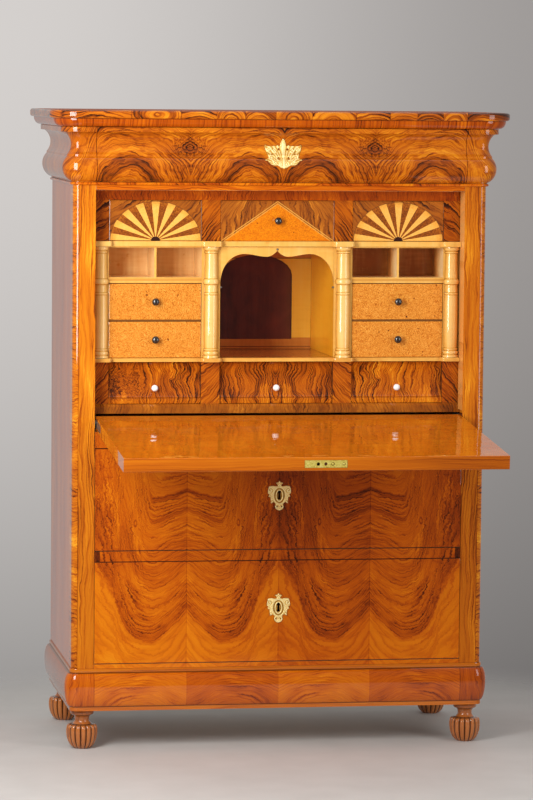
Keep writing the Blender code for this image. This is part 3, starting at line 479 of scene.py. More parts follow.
@surface("cornice", "cornice_banding")
def paint_cornice(tree, x, y, z):
    """Slab of banding pieces with bowed rings, over a redder moulding of fine cross grain."""
    s, t = grain_map(tree)
    slab_foot = slab_high.z - slab_thickness - 0.0002
    piece_length = 0.082
    slab = above(z, slab_foot)
    count = s / piece_length + noise(s * 3.0, 0.0, 61.0, detail=0.0) * 2.6
    index = maths("FLOOR", count)
    within = maths("FRACT", count)
    chance = noise(index * 7.31, index * 3.17, 61.0, detail=0.0)
    rings = distance((within - 0.5) * piece_length, t * 1.3 - 0.100 + chance * 0.16)
    darkness, bent = bent_figure(rings + index * 0.037, s, t + index * 0.41, 61.0, weight=1.6, coarse=0.8)
    arcs = ridged(noise(bent * 60.0, index * 3.3, 7.0, detail=1.0), 10.0)
    joint = line_at(within, 0.5, 0.480, 0.497)
    darkness = darkness + arcs * 0.45 + (chance - 0.5) * 0.45 + joint * 0.18 - 0.03
    fine = walnut_figure(s * 0.8, t * 0.2, s * 0.3, 63.0, weight=0.8, coarse=1.4)
    below = walnut_colour(fine + 0.13 + (chance - 0.5) * 0.15 + joint * 0.10)
    colour = blend(slab, below, walnut_colour(darkness - 0.05, amber_stops))
    line = line_at(z, slab_foot, 0.0009, 0.0004)
    colour = blend(line * 0.75, colour, (0.10, 0.026, 0.006))
    polished(tree, colour, darkness, x, y, z)


@surface("astragal", "astragal_banding")
def paint_astragal(tree, x, y, z):
    """Cross-banded strips along a thin moulding, in pieces of uneven length."""
    piece_length, seed = 0.055, 67.0
    s, t = grain_map(tree)
    shift = noise(s * 3.0, 0.0, seed, detail=0.0) * 2.6
    count = s / piece_length + shift
    index = maths("FLOOR", count)
    within = maths("FRACT", count)
    joint = line_at(within, 0.5, 0.490, 0.4985)
    white = vector(index * 7.31 + seed, index * 3.17, seed)
    random_node = tree.nodes.new("ShaderNodeTexWhiteNoise")
    random_node.noise_dimensions = "3D"
    plug(tree, white, random_node.inputs["Vector"])
    chance = Field(tree, random_node.outputs["Value"])
    bow = (within - 0.5) * (within - 0.5) * (chance - 0.5) * 0.05
    across = s + t * (chance - 0.5) * 1.6 + bow + index * 0.037
    darkness = walnut_figure(across, s, t + index * 0.41, seed, weight=1.2)
    colour = walnut_colour(darkness + (chance - 0.5) * 0.26 + joint * 0.16)
    polished(tree, colour, darkness, x, y, z)


plinth_bulge_foot, plinth_bulge_top = 0.0102, 0.0900


@surface("plinth", "plinth_veneer")
def paint_plinth_veneer(tree, x, y, z):
    """Matched leaves round the plinth with half rings rising from its foot."""
    s, t = grain_map(tree)
    u, alternate = leaf_fields(s)
    ring_side = 0.105
    rings = distance((u - ring_side) * 0.55, t + 0.010)
    end = above(size_of(s), opening_half)
    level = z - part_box("plinth")[0].z
    side_shade_and_sheen = smooth(y, front_y + 0.004, front_y + 0.020)
    upright = size_of(s) + t * 0.10
    across = rings * (1.0 - end) + upright * end
    darkness = walnut_figure(across, u, t, 31.0, weight=0.68, coarse=1.25)
    core = smooth(rings, 0.040, 0.018) * (1.0 - end)
    joint = line_at(size_of(s), opening_half, 0.0012, 0.0006)
    joint = joint + smooth(u, 0.0010, 0.0004) * 0.5
    darkness = darkness - alternate * 0.12 - core * 0.06 + joint * 0.22 + 0.10 + end * 0.10
    # The fillets above and below the bulge are plain and paler, each with a painted shade line in the crease
    # beside it
    fillets = above(level, plinth_bulge_top) + above(plinth_bulge_foot, level)
    plain = walnut_figure(z + s * 0.02, s * 0.3, t, 33.0, weight=0.3)
    colour = blend(fillets, walnut_colour(darkness), walnut_colour(plain + 0.05, amber_stops))
    quirk_shade = line_at(level, plinth_bulge_top, 0.0019, 0.0007)
    quirk_shade = clamped(quirk_shade + line_at(level, plinth_bulge_foot, 0.0017, 0.0006))
    colour = blend(quirk_shade * 0.80, colour, (0.10, 0.026, 0.007))
    # Painted shade with a grey painted reflection on the rounded corners and the sides
    colour = blend(side_shade_and_sheen * 0.45, colour, (0.20, 0.085, 0.036))
    polished(tree, colour, darkness, x, y, z)


@surface("long", "long_grain_walnut", axis=2, seed=73.0, weight=0.9, darker=0.0)
@surface("top", "dull_top_walnut", axis=1, seed=75.0, weight=0.6, darker=0.14, dull=True)
def paint_plain_walnut(tree, x, y, z, axis, seed, weight, darker, dull=False):
    """Straight-grained walnut, polished or left dull; the grain runs across the given axis."""
    fields = (x, y, z)
    across = fields[axis]
    others = [field for index, field in enumerate(fields) if index != axis]
    sway = sway_of(others[0] * 4.0, others[1] * 4.0, seed, detail=1.0)
    across = across + sway * 0.03
    darkness = walnut_figure(across, others[0] * 0.5, others[1] * 0.5, seed, weight=weight)
    if dull:
        dress(
            tree, walnut_colour(darkness + darker), 0.62, darkness,
            bump=0.0002, coat=0.25, specular=0.2, coat_roughness=0.42,
        )
    else:
        polished(tree, walnut_colour(darkness + darker), darkness, x, y, z)


gallery_bands = (
    (attic_rail, overall, walnut_stops),
    (gallery_foot - 0.01, gallery_foot + 0.0225, golden_stops),
)


@surface("gallery", "gallery_walnut")
def paint_gallery_walnut(tree, x, y, z):
    """Lively walnut on the gallery fronts, with slanting waves mirrored about the middle.

    Each of the bands (low, high, stops) is a level of straight cross grain in the colours of its stops.
    """
    seed = 79.0
    side = size_of(x)
    wave = maths("SINE", side * 38.0 + z * 14.0 + noise(side * 9.0, z * 9.0, seed) * 5.0)
    across = side * 0.8 + z * 0.7 + wave * 0.009
    darkness = walnut_figure(across, side, z, seed, weight=1.9)
    colour = walnut_colour(darkness + 0.09, amber_stops)
    for low, high, stops in gallery_bands:
        here = above(z, low) - above(z, high)
        crossing = walnut_figure(x + z * 0.06, z * 2.0, x * 0.2, seed + 5.0, weight=0.75, coarse=1.3)
        colour = blend(here, colour, walnut_colour(crossing + 0.18, stops))
    polished(tree, colour, darkness, x, y, z)


@surface("cove", "cove_walnut")
def paint_cove(tree, x, y, z):
    """Concave drawer fronts: dark upright waves, a swirl beside each outer knob and a lip painted paler as a
    highlight.
    """
    side = size_of(x)
    low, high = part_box("base_drawer_right")
    level = z - low.z
    sway = sway_of(side * 16.0, z * 16.0, 83.0, detail=2.0)
    wave = maths("SINE", z * 95.0 + side * 22.0 + sway * 6.0)
    turning = distance(side - high.x + 0.040, level - 0.042)
    swirl = smooth(turning, 0.060, 0.015) * smooth(x, 0.02, -0.02)
    tangle = sway_of(side * 52.0, z * 60.0, 9.0, detail=2.0, distortion=1.4)
    across = side * 0.85 + wave * 0.0032 + sway * 0.026 + tangle * (0.004 + swirl * 0.050)
    darkness = walnut_figure(across, side, z, 83.0, weight=2.1, coarse=1.45)
    burr = smooth(noise(side * 170.0, z * 210.0, 6.0, detail=3.0, distortion=1.0), 0.50, 0.64) * swirl
    lip_height = 0.0137
    # The lip is painted paler, as a highlight along it
    lip = smooth(level, lip_height + 0.0001, lip_height - 0.0017)
    edge = line_at(level, lip_height, 0.0009, 0.0003)
    lighter = smooth(x, 0.10, 0.26) * 0.10
    colour = walnut_colour(darkness + burr * 0.22 - lip * 0.10 + 0.10 - lighter, amber_stops)
    colour = blend(edge * 0.6, colour, (0.16, 0.05, 0.012))
    polished(tree, colour, darkness, x, y, z)


# Pale woods

maple_stops = (
    (0.00, (0.90, 0.60, 0.20)), (0.40, (0.80, 0.43, 0.085)), (1.00, (0.52, 0.17, 0.016)),
)


def maple_darkness(x, y, z, seed):
    """Faint upright grain, ripple and clouds of honey-coloured maple."""
    grain = sway_of(x * 130.0, y * 130.0, z * 9.0 + seed, detail=3.0)
    cloud = sway_of(x * 14.0, y * 14.0, z * 5.0 + seed, detail=2.0)
    ripple = sway_of(x * 20.0, y * 20.0, z * 140.0 + seed, detail=1.0)
    worn = noise(x * 45.0, y * 45.0, z * 45.0 + seed, detail=3.0)
    return 0.34 + grain * 0.30 + cloud * 0.45 + ripple * 0.18 + smooth(worn, 0.66, 0.8) * 0.2, grain


@surface("maple", "honey_maple")
def paint_maple(tree, x, y, z):
    """Polished maple of the cornice board and the arch."""
    darkness, grain = maple_darkness(x, y, z, 1.0)
    colour = ramp(clamped(darkness), maple_stops)
    dress(tree, colour, 0.34, grain, bump=0.0002, coat=0.9, specular=0.1, coat_roughness=0.04)


@surface("column", "column_maple")
def paint_column_maple(tree, x, y, z):
    """Maple of the split columns, painted a deeper gold round their sides and darker in the turned grooves, as
    painted shade.
    """
    low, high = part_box("column_inner_right")
    darkness, grain = maple_darkness(x, y, z, 2.0)
    # Painted shade: a deeper gold towards the sides of each half column, and darker in the turned grooves
    aside = smooth(y, low.y + 0.003, high.y - 0.001)
    streak = sway_of(x * 260.0, y * 260.0, z * 5.0, detail=2.0)
    share = (z - low.z) / (high.z - low.z)
    groove = 0.0
    turned_grooves = (0.022, 0.061, 0.084, 0.567, 0.589, 0.660, 0.713, 0.942, 0.962)
    for level in turned_grooves:
        groove = groove + line_at(share, level, 0.0065, 0.0010)
    colour = ramp(
        clamped(darkness * 0.6 + aside * 0.60 + streak * 0.30 + groove * 0.38 - 0.04),
        ((0.0, (0.93, 0.64, 0.25)), (0.30, (0.84, 0.48, 0.115)), (0.65, (0.60, 0.27, 0.032)),
         (1.0, (0.36, 0.13, 0.012))),
    )
    dress(tree, colour, 0.34, grain, bump=0.0002, coat=1.0, specular=0.1, coat_roughness=0.03)


@surface("bay", "bay_maple")
def paint_bay(tree, x, y, z):
    """Maple posts, pigeonholes in a paler copy of the maple as painted light with painted shade deepening
    inwards, golden walls of the niche, and painted shade as dark lines between and over the burl drawers and
    on the shelf front above them.
    """
    darkness, grain = maple_darkness(x, y, z, 6.0)
    lower_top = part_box("burl_drawer_left_lower")[1].z
    upper_low, upper_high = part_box("burl_drawer_right_upper")
    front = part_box("gallery_bay_right")[0]
    lip = 0.0002
    inside = above(size_of(x), upper_low.x - 0.001) - above(size_of(x), upper_high.x + 0.001)
    # Painted shade in the gap between the burl drawers and as a shadow line over the upper ones
    gap = above(z, lower_top + lip) - above(z, upper_low.z - lip)
    shadow = above(z, upper_high.z - lip) - above(z, upper_high.z + 0.0021)
    colour = ramp(clamped(darkness + 0.06), maple_stops)
    deep = above(y, front.y + 0.002)
    # Painted light: the pigeonholes get a paler copy of the maple, with painted shade deepening inwards and
    # more on the right
    inwards_shade = smooth(y, front.y + 0.01, front.y + 0.12)
    pale = ramp(
        clamped(darkness + inwards_shade * (0.22 + smooth(x, -0.05, 0.25) * 0.40)),
        ((0.0, (1.0, 0.82, 0.50)), (0.4, (0.97, 0.66, 0.28)), (0.75, (0.74, 0.33, 0.075)),
         (1.0, (0.44, 0.15, 0.025))),
    )
    golden = ramp(
        clamped(darkness), ((0.0, (1.0, 0.53, 0.035)), (0.4, (0.94, 0.39, 0.010)), (1.0, (0.56, 0.15, 0.004)))
    )
    # Painted shade on the lower part of the shelf front over the burl drawers
    strip = above(z, upper_high.z + 0.0060) - above(z, upper_high.z + 0.0125)
    colour = blend(strip * inside * 0.8, colour, (0.60, 0.26, 0.045))
    colour = blend(deep, colour, pale)
    in_niche = deep * above(front.x + 0.001, size_of(x))
    colour = blend(in_niche, colour, golden)
    colour = blend(clamped(gap + shadow) * inside * 0.92, colour, (0.13, 0.036, 0.008))
    dress(tree, colour, 0.36, grain, bump=0.0002, coat=0.7, specular=0.1, coat_roughness=0.06)


@surface("niche", "niche_frame")
def paint_niche_frame(tree, x, y, z):
    """Golden frame round the sunk panel of the niche, redder below a dark joint, with its floor."""
    darkness, grain = maple_darkness(x, y, z, 8.0)
    golden = ramp(
        clamped(darkness), ((0.0, (1.0, 0.68, 0.13)), (0.4, (0.95, 0.52, 0.050)), (1.0, (0.62, 0.22, 0.012)))
    )
    reddish = ramp(
        clamped(darkness),
        ((0.0, (0.80, 0.33, 0.060)), (0.5, (0.58, 0.19, 0.026)), (1.0, (0.28, 0.07, 0.012))),
    )
    floor_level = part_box("gallery_waist_board")[1].z
    top_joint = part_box("niche_back")[1].z - 0.042
    foot = clamped(above(floor_level + 0.026, z) + above(z, top_joint))
    line = line_at(z, floor_level + 0.004, 0.0016, 0.0006) + line_at(z, top_joint, 0.0016, 0.0006)
    colour = blend(foot, golden, reddish)
    colour = blend(line * 0.7, colour, (0.10, 0.024, 0.010))
    dress(tree, colour, 0.36, grain, bump=0.0002, coat=0.9, specular=0.1, coat_roughness=0.05)


@surface("waist", "waist_maple")
def paint_waist_maple(tree, x, y, z):
    """Maple waist board, with a reddish polished floor inside the niche."""
    darkness, grain = maple_darkness(x, z, y, 4.0)
    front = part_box("gallery_bay_right")[0]
    colour = ramp(clamped(darkness + 0.20), maple_stops)
    streak = sway_of(x * 6.0, y * 120.0, 3.0, detail=3.0)
    floor = ramp(
        clamped(0.45 + streak * 0.8),
        ((0.0, (0.52, 0.19, 0.035)), (0.5, (0.33, 0.095, 0.016)), (1.0, (0.13, 0.03, 0.008))),
    )
    in_niche = above(y, front.y - 0.001) * above(front.x + 0.001, size_of(x))
    colour = blend(in_niche, colour, floor)
    dress(tree, colour, 0.34, grain, bump=0.0002, coat=0.9, specular=0.1, coat_roughness=0.04)


burl_stops = (
    (0.00, (0.91, 0.52, 0.130)), (0.35, (0.77, 0.295, 0.034)), (0.62, (0.50, 0.138, 0.011)),
    (0.82, (0.26, 0.052, 0.006)), (1.00, (0.06, 0.016, 0.006)),
)


def burl_darkness(x, y, z, seed):
    """Curly burl: fine swirls, speckle and a few dark pin knots."""
    swirl = noise(x * 60.0, y * 60.0, z * 60.0 + seed, detail=4.0, rough=0.65, distortion=2.2)
    curl = maths("SINE", noise(x * 48.0, y * 48.0, z * 62.0 + seed, detail=2.0, distortion=1.8) * 62.0)
    speck = noise(x * 420.0, y * 420.0, z * 420.0 + seed, detail=2.0)
    knots = smooth(noise(x * 95.0, y * 95.0, z * 95.0 + seed, detail=1.0), 0.735, 0.79)
    return 0.43 + (swirl - 0.5) * 0.55 + (speck - 0.5) * 0.80 + knots * 0.5 + curl * 0.125


bare_wood = (0.55, 0.33, 0.13)


def inlaid(tree, colour, relief):
    """Polish of the small drawer fronts."""
    dress(tree, colour, 0.36, relief, bump=0.0001, specular=0.05)


@surface("burl", "burl_veneer")
def paint_burl(tree, x, y, z):
    """Burl of the four middle drawers."""
    darkness = burl_darkness(x, y, z, 3.0)
    inlaid(tree, ramp(clamped(darkness), burl_stops), darkness)


@surface("fan", "fan_inlay")
def paint_fan(tree, x, y, z):
    """Drawer front with a half fan of alternating light and dark rays over a dark hub."""
    low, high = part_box("fan_drawer_right")
    centre_x = (low.x + high.x) / 2
    aside = size_of(x) - centre_x
    rise = z - low.z - 0.0008
    half, tall, rays_in_turn = 0.1075, 0.0915, 17.0
    radius = distance(aside / half, rise / tall)
    turn = maths("ARCTAN2", rise * (half / tall), aside) / math.pi * rays_in_turn
    within = maths("FRACT", turn)
    dark = above(maths("FRACT", turn / 2.0), 0.5)
    sawn = line_at(within, 0.5, 0.47, 0.497)
    grain = sway_of(aside * 300.0, rise * 300.0, turn * 0.2, detail=3.0)
    shaded = smooth(radius, 0.80, 1.0)
    light_ray = ramp(
        clamped(0.35 + grain * 0.7 + shaded * 0.25),
        ((0.0, (0.97, 0.58, 0.15)), (0.5, (0.87, 0.41, 0.062)), (1.0, (0.50, 0.17, 0.018))),
    )
    dark_ray = walnut_colour(0.60 + grain * 0.75 - shaded * 0.10, golden_stops)
    rays = blend(dark, light_ray, dark_ray)
    rays = blend(sawn * 0.5, rays, (0.12, 0.04, 0.012))
    hub = smooth(radius, 0.105, 0.097)
    rays = blend(hub, rays, (0.040, 0.011, 0.007))
    wave = maths("SINE", aside * 30.0 + z * 40.0)
    figure = walnut_figure(aside * 0.7 + z * 0.9 + wave * 0.010, aside, z, 41.0, weight=1.1)
    rim = line_at(radius, 1.0, 0.012, 0.004)
    colour = blend(above(radius, 1.0), rays, walnut_colour(figure + 0.16, golden_stops))
    colour = blend(rim * 0.6, colour, (0.10, 0.035, 0.012))
    colour = blend(above(y, low.y + front_thickness + 0.0005), colour, bare_wood)
    inlaid(tree, colour, grain)


@surface("pediment", "pediment_inlay")
def paint_pediment(tree, x, y, z):
    """Drawer front with a burl triangle in double pale stringing on waved walnut."""
    low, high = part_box("pediment_drawer")
    margin, rise = 0.0015, 0.0925
    base = high.x - margin
    length = math.hypot(base, rise)
    inside = ((1.0 - size_of(x) / base) * rise - (z - low.z - margin)) * (base / length)
    wave = maths("SINE", size_of(x) * 42.0 + z * 60.0)
    figure = walnut_figure(size_of(x) * 0.9 + z * 0.5 + wave * 0.009, size_of(x), z, 47.0, weight=1.2)
    outside = walnut_colour(figure + 0.15, golden_stops)
    burl = ramp(
        clamped(burl_darkness(x, y, z, 9.0) + 0.06),
        ((0.0, (0.92, 0.38, 0.010)), (0.4, (0.80, 0.225, 0.004)), (0.75, (0.50, 0.105, 0.003)),
         (1.0, (0.10, 0.022, 0.004))),
    )
    grain = sway_of(x * 200.0, y, z * 200.0, detail=2.0)
    string = ramp(clamped(0.55 + grain * 0.5), maple_stops)
    colour = blend(above(inside, 0.0), outside, burl)
    for place in (0.0006, 0.0050):
        line = line_at(inside, place, 0.0009, 0.0006)
        colour = blend(line, colour, string)
    between = line_at(inside, 0.0028, 0.0015, 0.0012)
    colour = blend(between, colour, walnut_colour(figure + 0.05, golden_stops))
    colour = blend(above(y, low.y + front_thickness + 0.0005), colour, bare_wood)
    inlaid(tree, colour, grain)


@surface("mahogany", "dark_mahogany_panel")
def paint_mahogany(tree, x, y, z):
    """Dark sunk panel at the back of the niche."""
    stripe = sway_of(x * 38.0, y * 9.0, z * 3.0, detail=3.0)
    pores = sway_of(x * 600.0, y * 60.0, z * 30.0, detail=2.0)
    cloud = sway_of(x * 16.0, y * 16.0, z * 12.0, detail=3.0, distortion=1.0)
    darkness = clamped(0.36 + stripe * 0.9 + pores * 0.3 + cloud * 0.8)
    colour = ramp(
        darkness, ((0.0, (0.18, 0.030, 0.014)), (0.6, (0.075, 0.013, 0.008)), (1.0, (0.020, 0.005, 0.004)))
    )
    dress(tree, colour, 0.38, pores, bump=0.0001, specular=0.3, coat_roughness=0.08)


@surface("pine", "bare_pine", upright=False)
@surface("back_pine", "bare_pine_upright", upright=True)
def paint_pine(tree, x, y, z, upright):
    """Bare softwood of the drawer boxes and boards; its grain runs upright or level."""
    cross, along = (x, z) if upright else (z, x)
    across = cross + noise(x * 3.0, y * 3.0, z * 3.0, detail=1.0) * 0.05
    rings = maths("FRACT", across * 90.0 + noise(along * 5.0, y * 5.0, cross * 20.0, detail=2.0) * 2.0)
    late = smooth(rings, 0.35, 0.95)
    fibre = sway_of(along * 40.0, y * 40.0, cross * 420.0, detail=2.0)
    cloud = sway_of(x * 8.0, y * 8.0, z * 8.0, detail=2.0)
    colour = ramp(
        clamped(0.25 + late * 0.32 + fibre * 0.3 + cloud * 0.35),
        ((0.0, (0.66, 0.43, 0.20)), (0.5, (0.52, 0.29, 0.11)), (1.0, (0.27, 0.12, 0.035))),
    )
    dress(tree, colour, 0.62, fibre, bump=0.0002, coat=0.0, specular=0.3)


foot_lobes = 16


@surface("feet", "turned_walnut_feet")
def paint_turned_walnut(tree, x, y, z):
    """Solid walnut of the feet, with painted shade between the lobes and in the two rings, and painted light
    on the crests of the lobes.
    """
    figure = walnut_figure(x * 0.8 + y * 0.5, z * 0.4, y * 0.4, 53.0, weight=0.7)
    low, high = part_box("foot_front_right")
    back_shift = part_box("foot_back_right")[0].y - low.y
    along = y - (low.y + high.y) / 2 - above(y, low.y + back_shift / 2) * back_shift
    turned = maths("ARCTAN2", along, size_of(x) - (low.x + high.x) / 2)
    lobe = size_of(maths("COSINE", turned * foot_lobes / 2))
    share = (z - low.z) / (high.z - low.z)
    on_melon = smooth(share, 0.64, 0.60)
    # Painted shade in the grooves between the lobes and in the two rings; the crests are painted lighter above
    groove = smooth(lobe, 0.62, 0.10) * on_melon
    rings = line_at(share, 0.626, 0.020, 0.006) + line_at(share, 0.862, 0.022, 0.008)
    reddish = ramp(
        clamped(figure + 0.06 - lobe * on_melon * 0.10),
        ((0.0, (0.66, 0.22, 0.035)), (0.4, (0.40, 0.110, 0.018)), (0.75, (0.14, 0.033, 0.010)),
         (1.0, (0.04, 0.012, 0.006))),
    )
    reddish = blend(clamped(groove * 0.85 + rings * 0.7), reddish, (0.040, 0.012, 0.005))
    dress(tree, reddish, 0.34, figure, bump=0.0002, coat=0.9, specular=0.3, coat_roughness=0.06)


@surface("brass", "gilt_brass")
def paint_brass(tree, x, y, z):
    """Gilt brass, mottled with patina."""
    patina = noise(x * 320.0, y * 320.0, z * 320.0, detail=3.0)
    cloud = noise(x * 70.0, y * 70.0, z * 70.0, detail=2.0)
    colour = ramp(
        clamped(patina * 0.6 + cloud * 0.5),
        ((0.30, (0.46, 0.30, 0.040)), (0.55, (0.84, 0.66, 0.13)), (0.80, (0.98, 0.84, 0.33))),
    )
    rough = 0.30 + patina * 0.20
    dress(tree, colour, rough, patina, bump=0.00025, coat=0.0, metallic=0.50)


@surface("gilt", "cast_gilding")
def paint_gilt(tree, x, y, z):
    """Pale gilding of the cast mounts, brown in the hollows as patina and painted shade; the first map value
    is the relief.
    """
    relief = grain_map(tree)[0]
    wear = noise(x * 420.0, y * 420.0, z * 420.0, detail=3.0)
    cloud = noise(x * 90.0, y * 90.0, z * 90.0, detail=2.0)
    share = clamped(relief * 1.25 - 0.08 + (wear - 0.5) * 0.50 + (cloud - 0.5) * 0.30)
    colour = ramp(
        share,
        ((0.05, (0.21, 0.085, 0.008)), (0.28, (0.68, 0.355, 0.052)), (0.52, (1.0, 0.65, 0.17)),
         (0.80, (1.0, 0.86, 0.42))),
    )
    dress(tree, colour, 0.40 + wear * 0.15, wear, bump=0.0002, coat=0.0, metallic=0.35, specular=0.5)


@surface("lipping", "flap_edge_walnut")
def paint_lipping(tree, x, y, z):
    """Lighter straight-grained walnut on the edges of the flap."""
    sway = sway_of(x * 3.0, y * 3.0, 2.0, detail=1.0)
    across = z + y * math.tan(droop) + sway * 0.01
    darkness = walnut_figure(across, x * 0.25, y * 0.25, 91.0, weight=0.45, coarse=1.6)
    # The rise towards the right is painted shade
    shaded = darkness + 0.075 + smooth(x, 0.05, 0.50) * 0.09
    polished(tree, walnut_colour(shaded, amber_stops), darkness, x, y, z)


@surface("outer", "flap_outside")
def paint_flap_outside(tree, x, y, z):
    """Matched leaves on the outer face of the flap, in line with those of the drawers."""
    u, alternate = leaf_fields(x)
    rise = 0.50 + y
    arms = distance(u * 1.35, rise - 0.02)
    darkness, bent = bent_figure(arms, u, y, 97.0, weight=0.9)
    crown = line_at(bent, 0.23, 0.035, 0.004)
    seam = leaf_seams(u, x)
    darkness = darkness + crown * 0.10 + (alternate - 0.5) * 0.09 + seam * 0.14
    polished(tree, walnut_colour(darkness), darkness, x, y, z)


@surface("iron", "forged_iron")
def paint_iron(tree, x, y, z):
    """Forged iron of the levers and pins."""
    scale = noise(x * 210.0, y * 210.0, z * 210.0, detail=4.0)
    colour = ramp(clamped(scale), ((0.3, (0.10, 0.085, 0.075)), (0.7, (0.26, 0.24, 0.22))))
    dress(tree, colour, 0.35 + scale * 0.3, scale, bump=0.0004, coat=0.0, metallic=0.9)


@surface("bone", "white_bone")
def paint_bone(tree, x, y, z):
    """Pale bone of the knobs on the base drawers."""
    streak = noise(x * 260.0, y * 40.0, z * 260.0, detail=2.0)
    colour = ramp(clamped(streak), ((0.3, (0.93, 0.91, 0.86)), (0.7, (0.98, 0.97, 0.94))))
    dress(tree, colour, 0.28, streak, bump=0.0001, coat=0.6, specular=0.5, coat_roughness=0.05)


@surface("horn", "dark_horn_knob")
def paint_horn(tree, x, y, z):
    """Nearly black horn of the other knobs."""
    streak = noise(x * 240.0, y * 60.0, z * 240.0, detail=3.0)
    colour = ramp(clamped(streak), ((0.3, (0.012, 0.011, 0.011)), (0.75, (0.035, 0.028, 0.024))))
    dress(tree, colour, 0.22, streak, bump=0.0001, coat=1.0, coat_roughness=0.03)


@surface("flap", "flap_inside")
def paint_flap_inside(tree, x, y, z):
    """Writing surface of veneer sheets side by side, polished like a mirror."""
    sway = sway_of(x * 2.2, y * 6.0, 3.0, detail=1.0)
    streak = sway_of(x * 7.0, (y + sway * 0.03) * 90.0, 5.0, detail=3.0)
    pores = sway_of(x * 55.0, y * 800.0, z * 800.0, detail=2.0)
    cloud = sway_of(x * 5.0, y * 7.0, 8.0, detail=2.0)
    first_sheet, sheets_to_a_metre = -0.47, 4.9
    sheets = (x - first_sheet) * sheets_to_a_metre
    sheet = maths("FLOOR", sheets)
    within = maths("FRACT", sheets)
    chance = sway_of(sheet * 5.3, 2.0, 7.0, detail=0.0)
    flame = sway_of(x * 36.0, y * 11.0, sheet * 3.1, detail=3.0, rough=0.6, distortion=0.8)
    line = line_at(within, 0.5, 0.4965, 0.4990)
    darkness = 0.31 + streak * 0.30 + pores * 0.16 + cloud * 0.34 + flame * 0.52 + chance * 0.32 + line * 0.16
    colour = ramp(
        clamped(darkness),
        ((0.0, (0.72, 0.235, 0.010)), (0.40, (0.54, 0.130, 0.004)), (0.75, (0.30, 0.056, 0.003)),
         (1.0, (0.09, 0.018, 0.003))),
    )
    ripple = noise(x * 10.0, y * 16.0, 2.0, detail=1.0)
    fine = noise(x * 34.0, y * 60.0, 6.0, detail=1.0)
    height = ripple * 0.75 + fine * 0.12 + streak * 0.02
    dress(tree, colour, 0.42, height, bump=0.0016, specular=0.0, coat_roughness=0.02)


@surface("edge", "dark_edge")
def paint_shade_dark_edge(tree, x, y, z):
    """Dark walnut of drawer edges, ways and recesses, darkened as painted shade."""
    grain = noise(x * 300.0, y * 60.0, z * 90.0, detail=3.0)
    colour = ramp(clamped(grain), ((0.3, (0.055, 0.0143, 0.0044)), (0.7, (0.165, 0.04675, 0.0099))))
    dress(tree, colour, 0.45, grain, bump=0.0001, coat=0.3, specular=0.2)


# Meshes

sharp_angle = math.radians(32)
plane_area = 0.0004


def add_object(name, data):
    """Puts a mesh, a light or the camera into the scene."""
    made = bpy.data.objects.new(name, data)
    bpy.context.scene.collection.objects.link(made)
    return made


def flatten_planes(mesh):
    """Large level faces keep their own normals beside their eased edges."""
    for polygon in mesh.polygons:
        if polygon.area > plane_area:
            polygon.use_smooth = False


def finish_piece(name, mesh_data, body, keys, replaced=(), rounded=True, planes=False):
    """Turns bmesh data into a piece that rides on a body and replaces CAD nodes."""
    bmesh.ops.remove_doubles(mesh_data, verts=mesh_data.verts, dist=0.000002)
    bmesh.ops.recalc_face_normals(mesh_data, faces=mesh_data.faces)
    mesh = bpy.data.meshes.new(name)
    mesh_data.to_mesh(mesh)
    mesh_data.free()
    for key in keys:
        mesh.materials.append(materials[key])
    if rounded:
        mesh.shade_smooth()
        mesh.set_sharp_from_angle(angle=sharp_angle)
    if planes:
        flatten_planes(mesh)
    piece = add_object(name, mesh)
    if body is not None:
        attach(piece, body)
    if replaced:
        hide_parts(*replaced)
    return piece


def carve(piece, cutter, planes=False):
    """Takes the form of a scratch object out of a piece and deletes the scratch object."""
    modifier = piece.modifiers.new("carve", "BOOLEAN")
    modifier.object = cutter
    modifier.operation = "DIFFERENCE"
    modifier.solver = "EXACT"
    bpy.context.view_layer.update()
    evaluated = piece.evaluated_get(bpy.context.evaluated_depsgraph_get())
    carved = bpy.data.meshes.new_from_object(evaluated)
    piece.modifiers.clear()
    old = piece.data
    piece.data = carved
    carved.name = old.name + "_carved"
    bpy.data.meshes.remove(old)
    spent = cutter.data
    bpy.data.objects.remove(cutter)
    bpy.data.meshes.remove(spent)
    piece.data.shade_smooth()
    piece.data.set_sharp_from_angle(angle=sharp_angle)
    if planes:
        flatten_planes(piece.data)


def cut_prism(piece, keys, outline, place, start, end, material=0, planes=False):
    """Carves a prism out of a piece."""
    mesh_data = bmesh.new()
    add_prism(mesh_data, outline, place, start, end, material)
    carve(piece, finish_piece("cutter", mesh_data, None, keys), planes)


def mark_faces(mesh_data, choose):
    """Gives each face the number of the material that choose returns for its normal."""
    for face in mesh_data.faces:
        face.normal_update()
        face.material_index = choose(face.normal)


def arc(centre_u, centre_v, radius_u, radius_v, start, end, steps):
    """Points of an elliptic arc; the angles are in degrees."""
    points = []
    for step in range(steps + 1):
        angle = math.radians(start + (end - start) * step / steps)
        points.append((centre_u + radius_u * math.cos(angle), centre_v + radius_v * math.sin(angle)))
    return points


def grain_layer(mesh_data):
    """The map that holds lengths for the grain, or the height of a relief."""
    return mesh_data.loops.layers.uv.get("Grain") or mesh_data.loops.layers.uv.new("Grain")


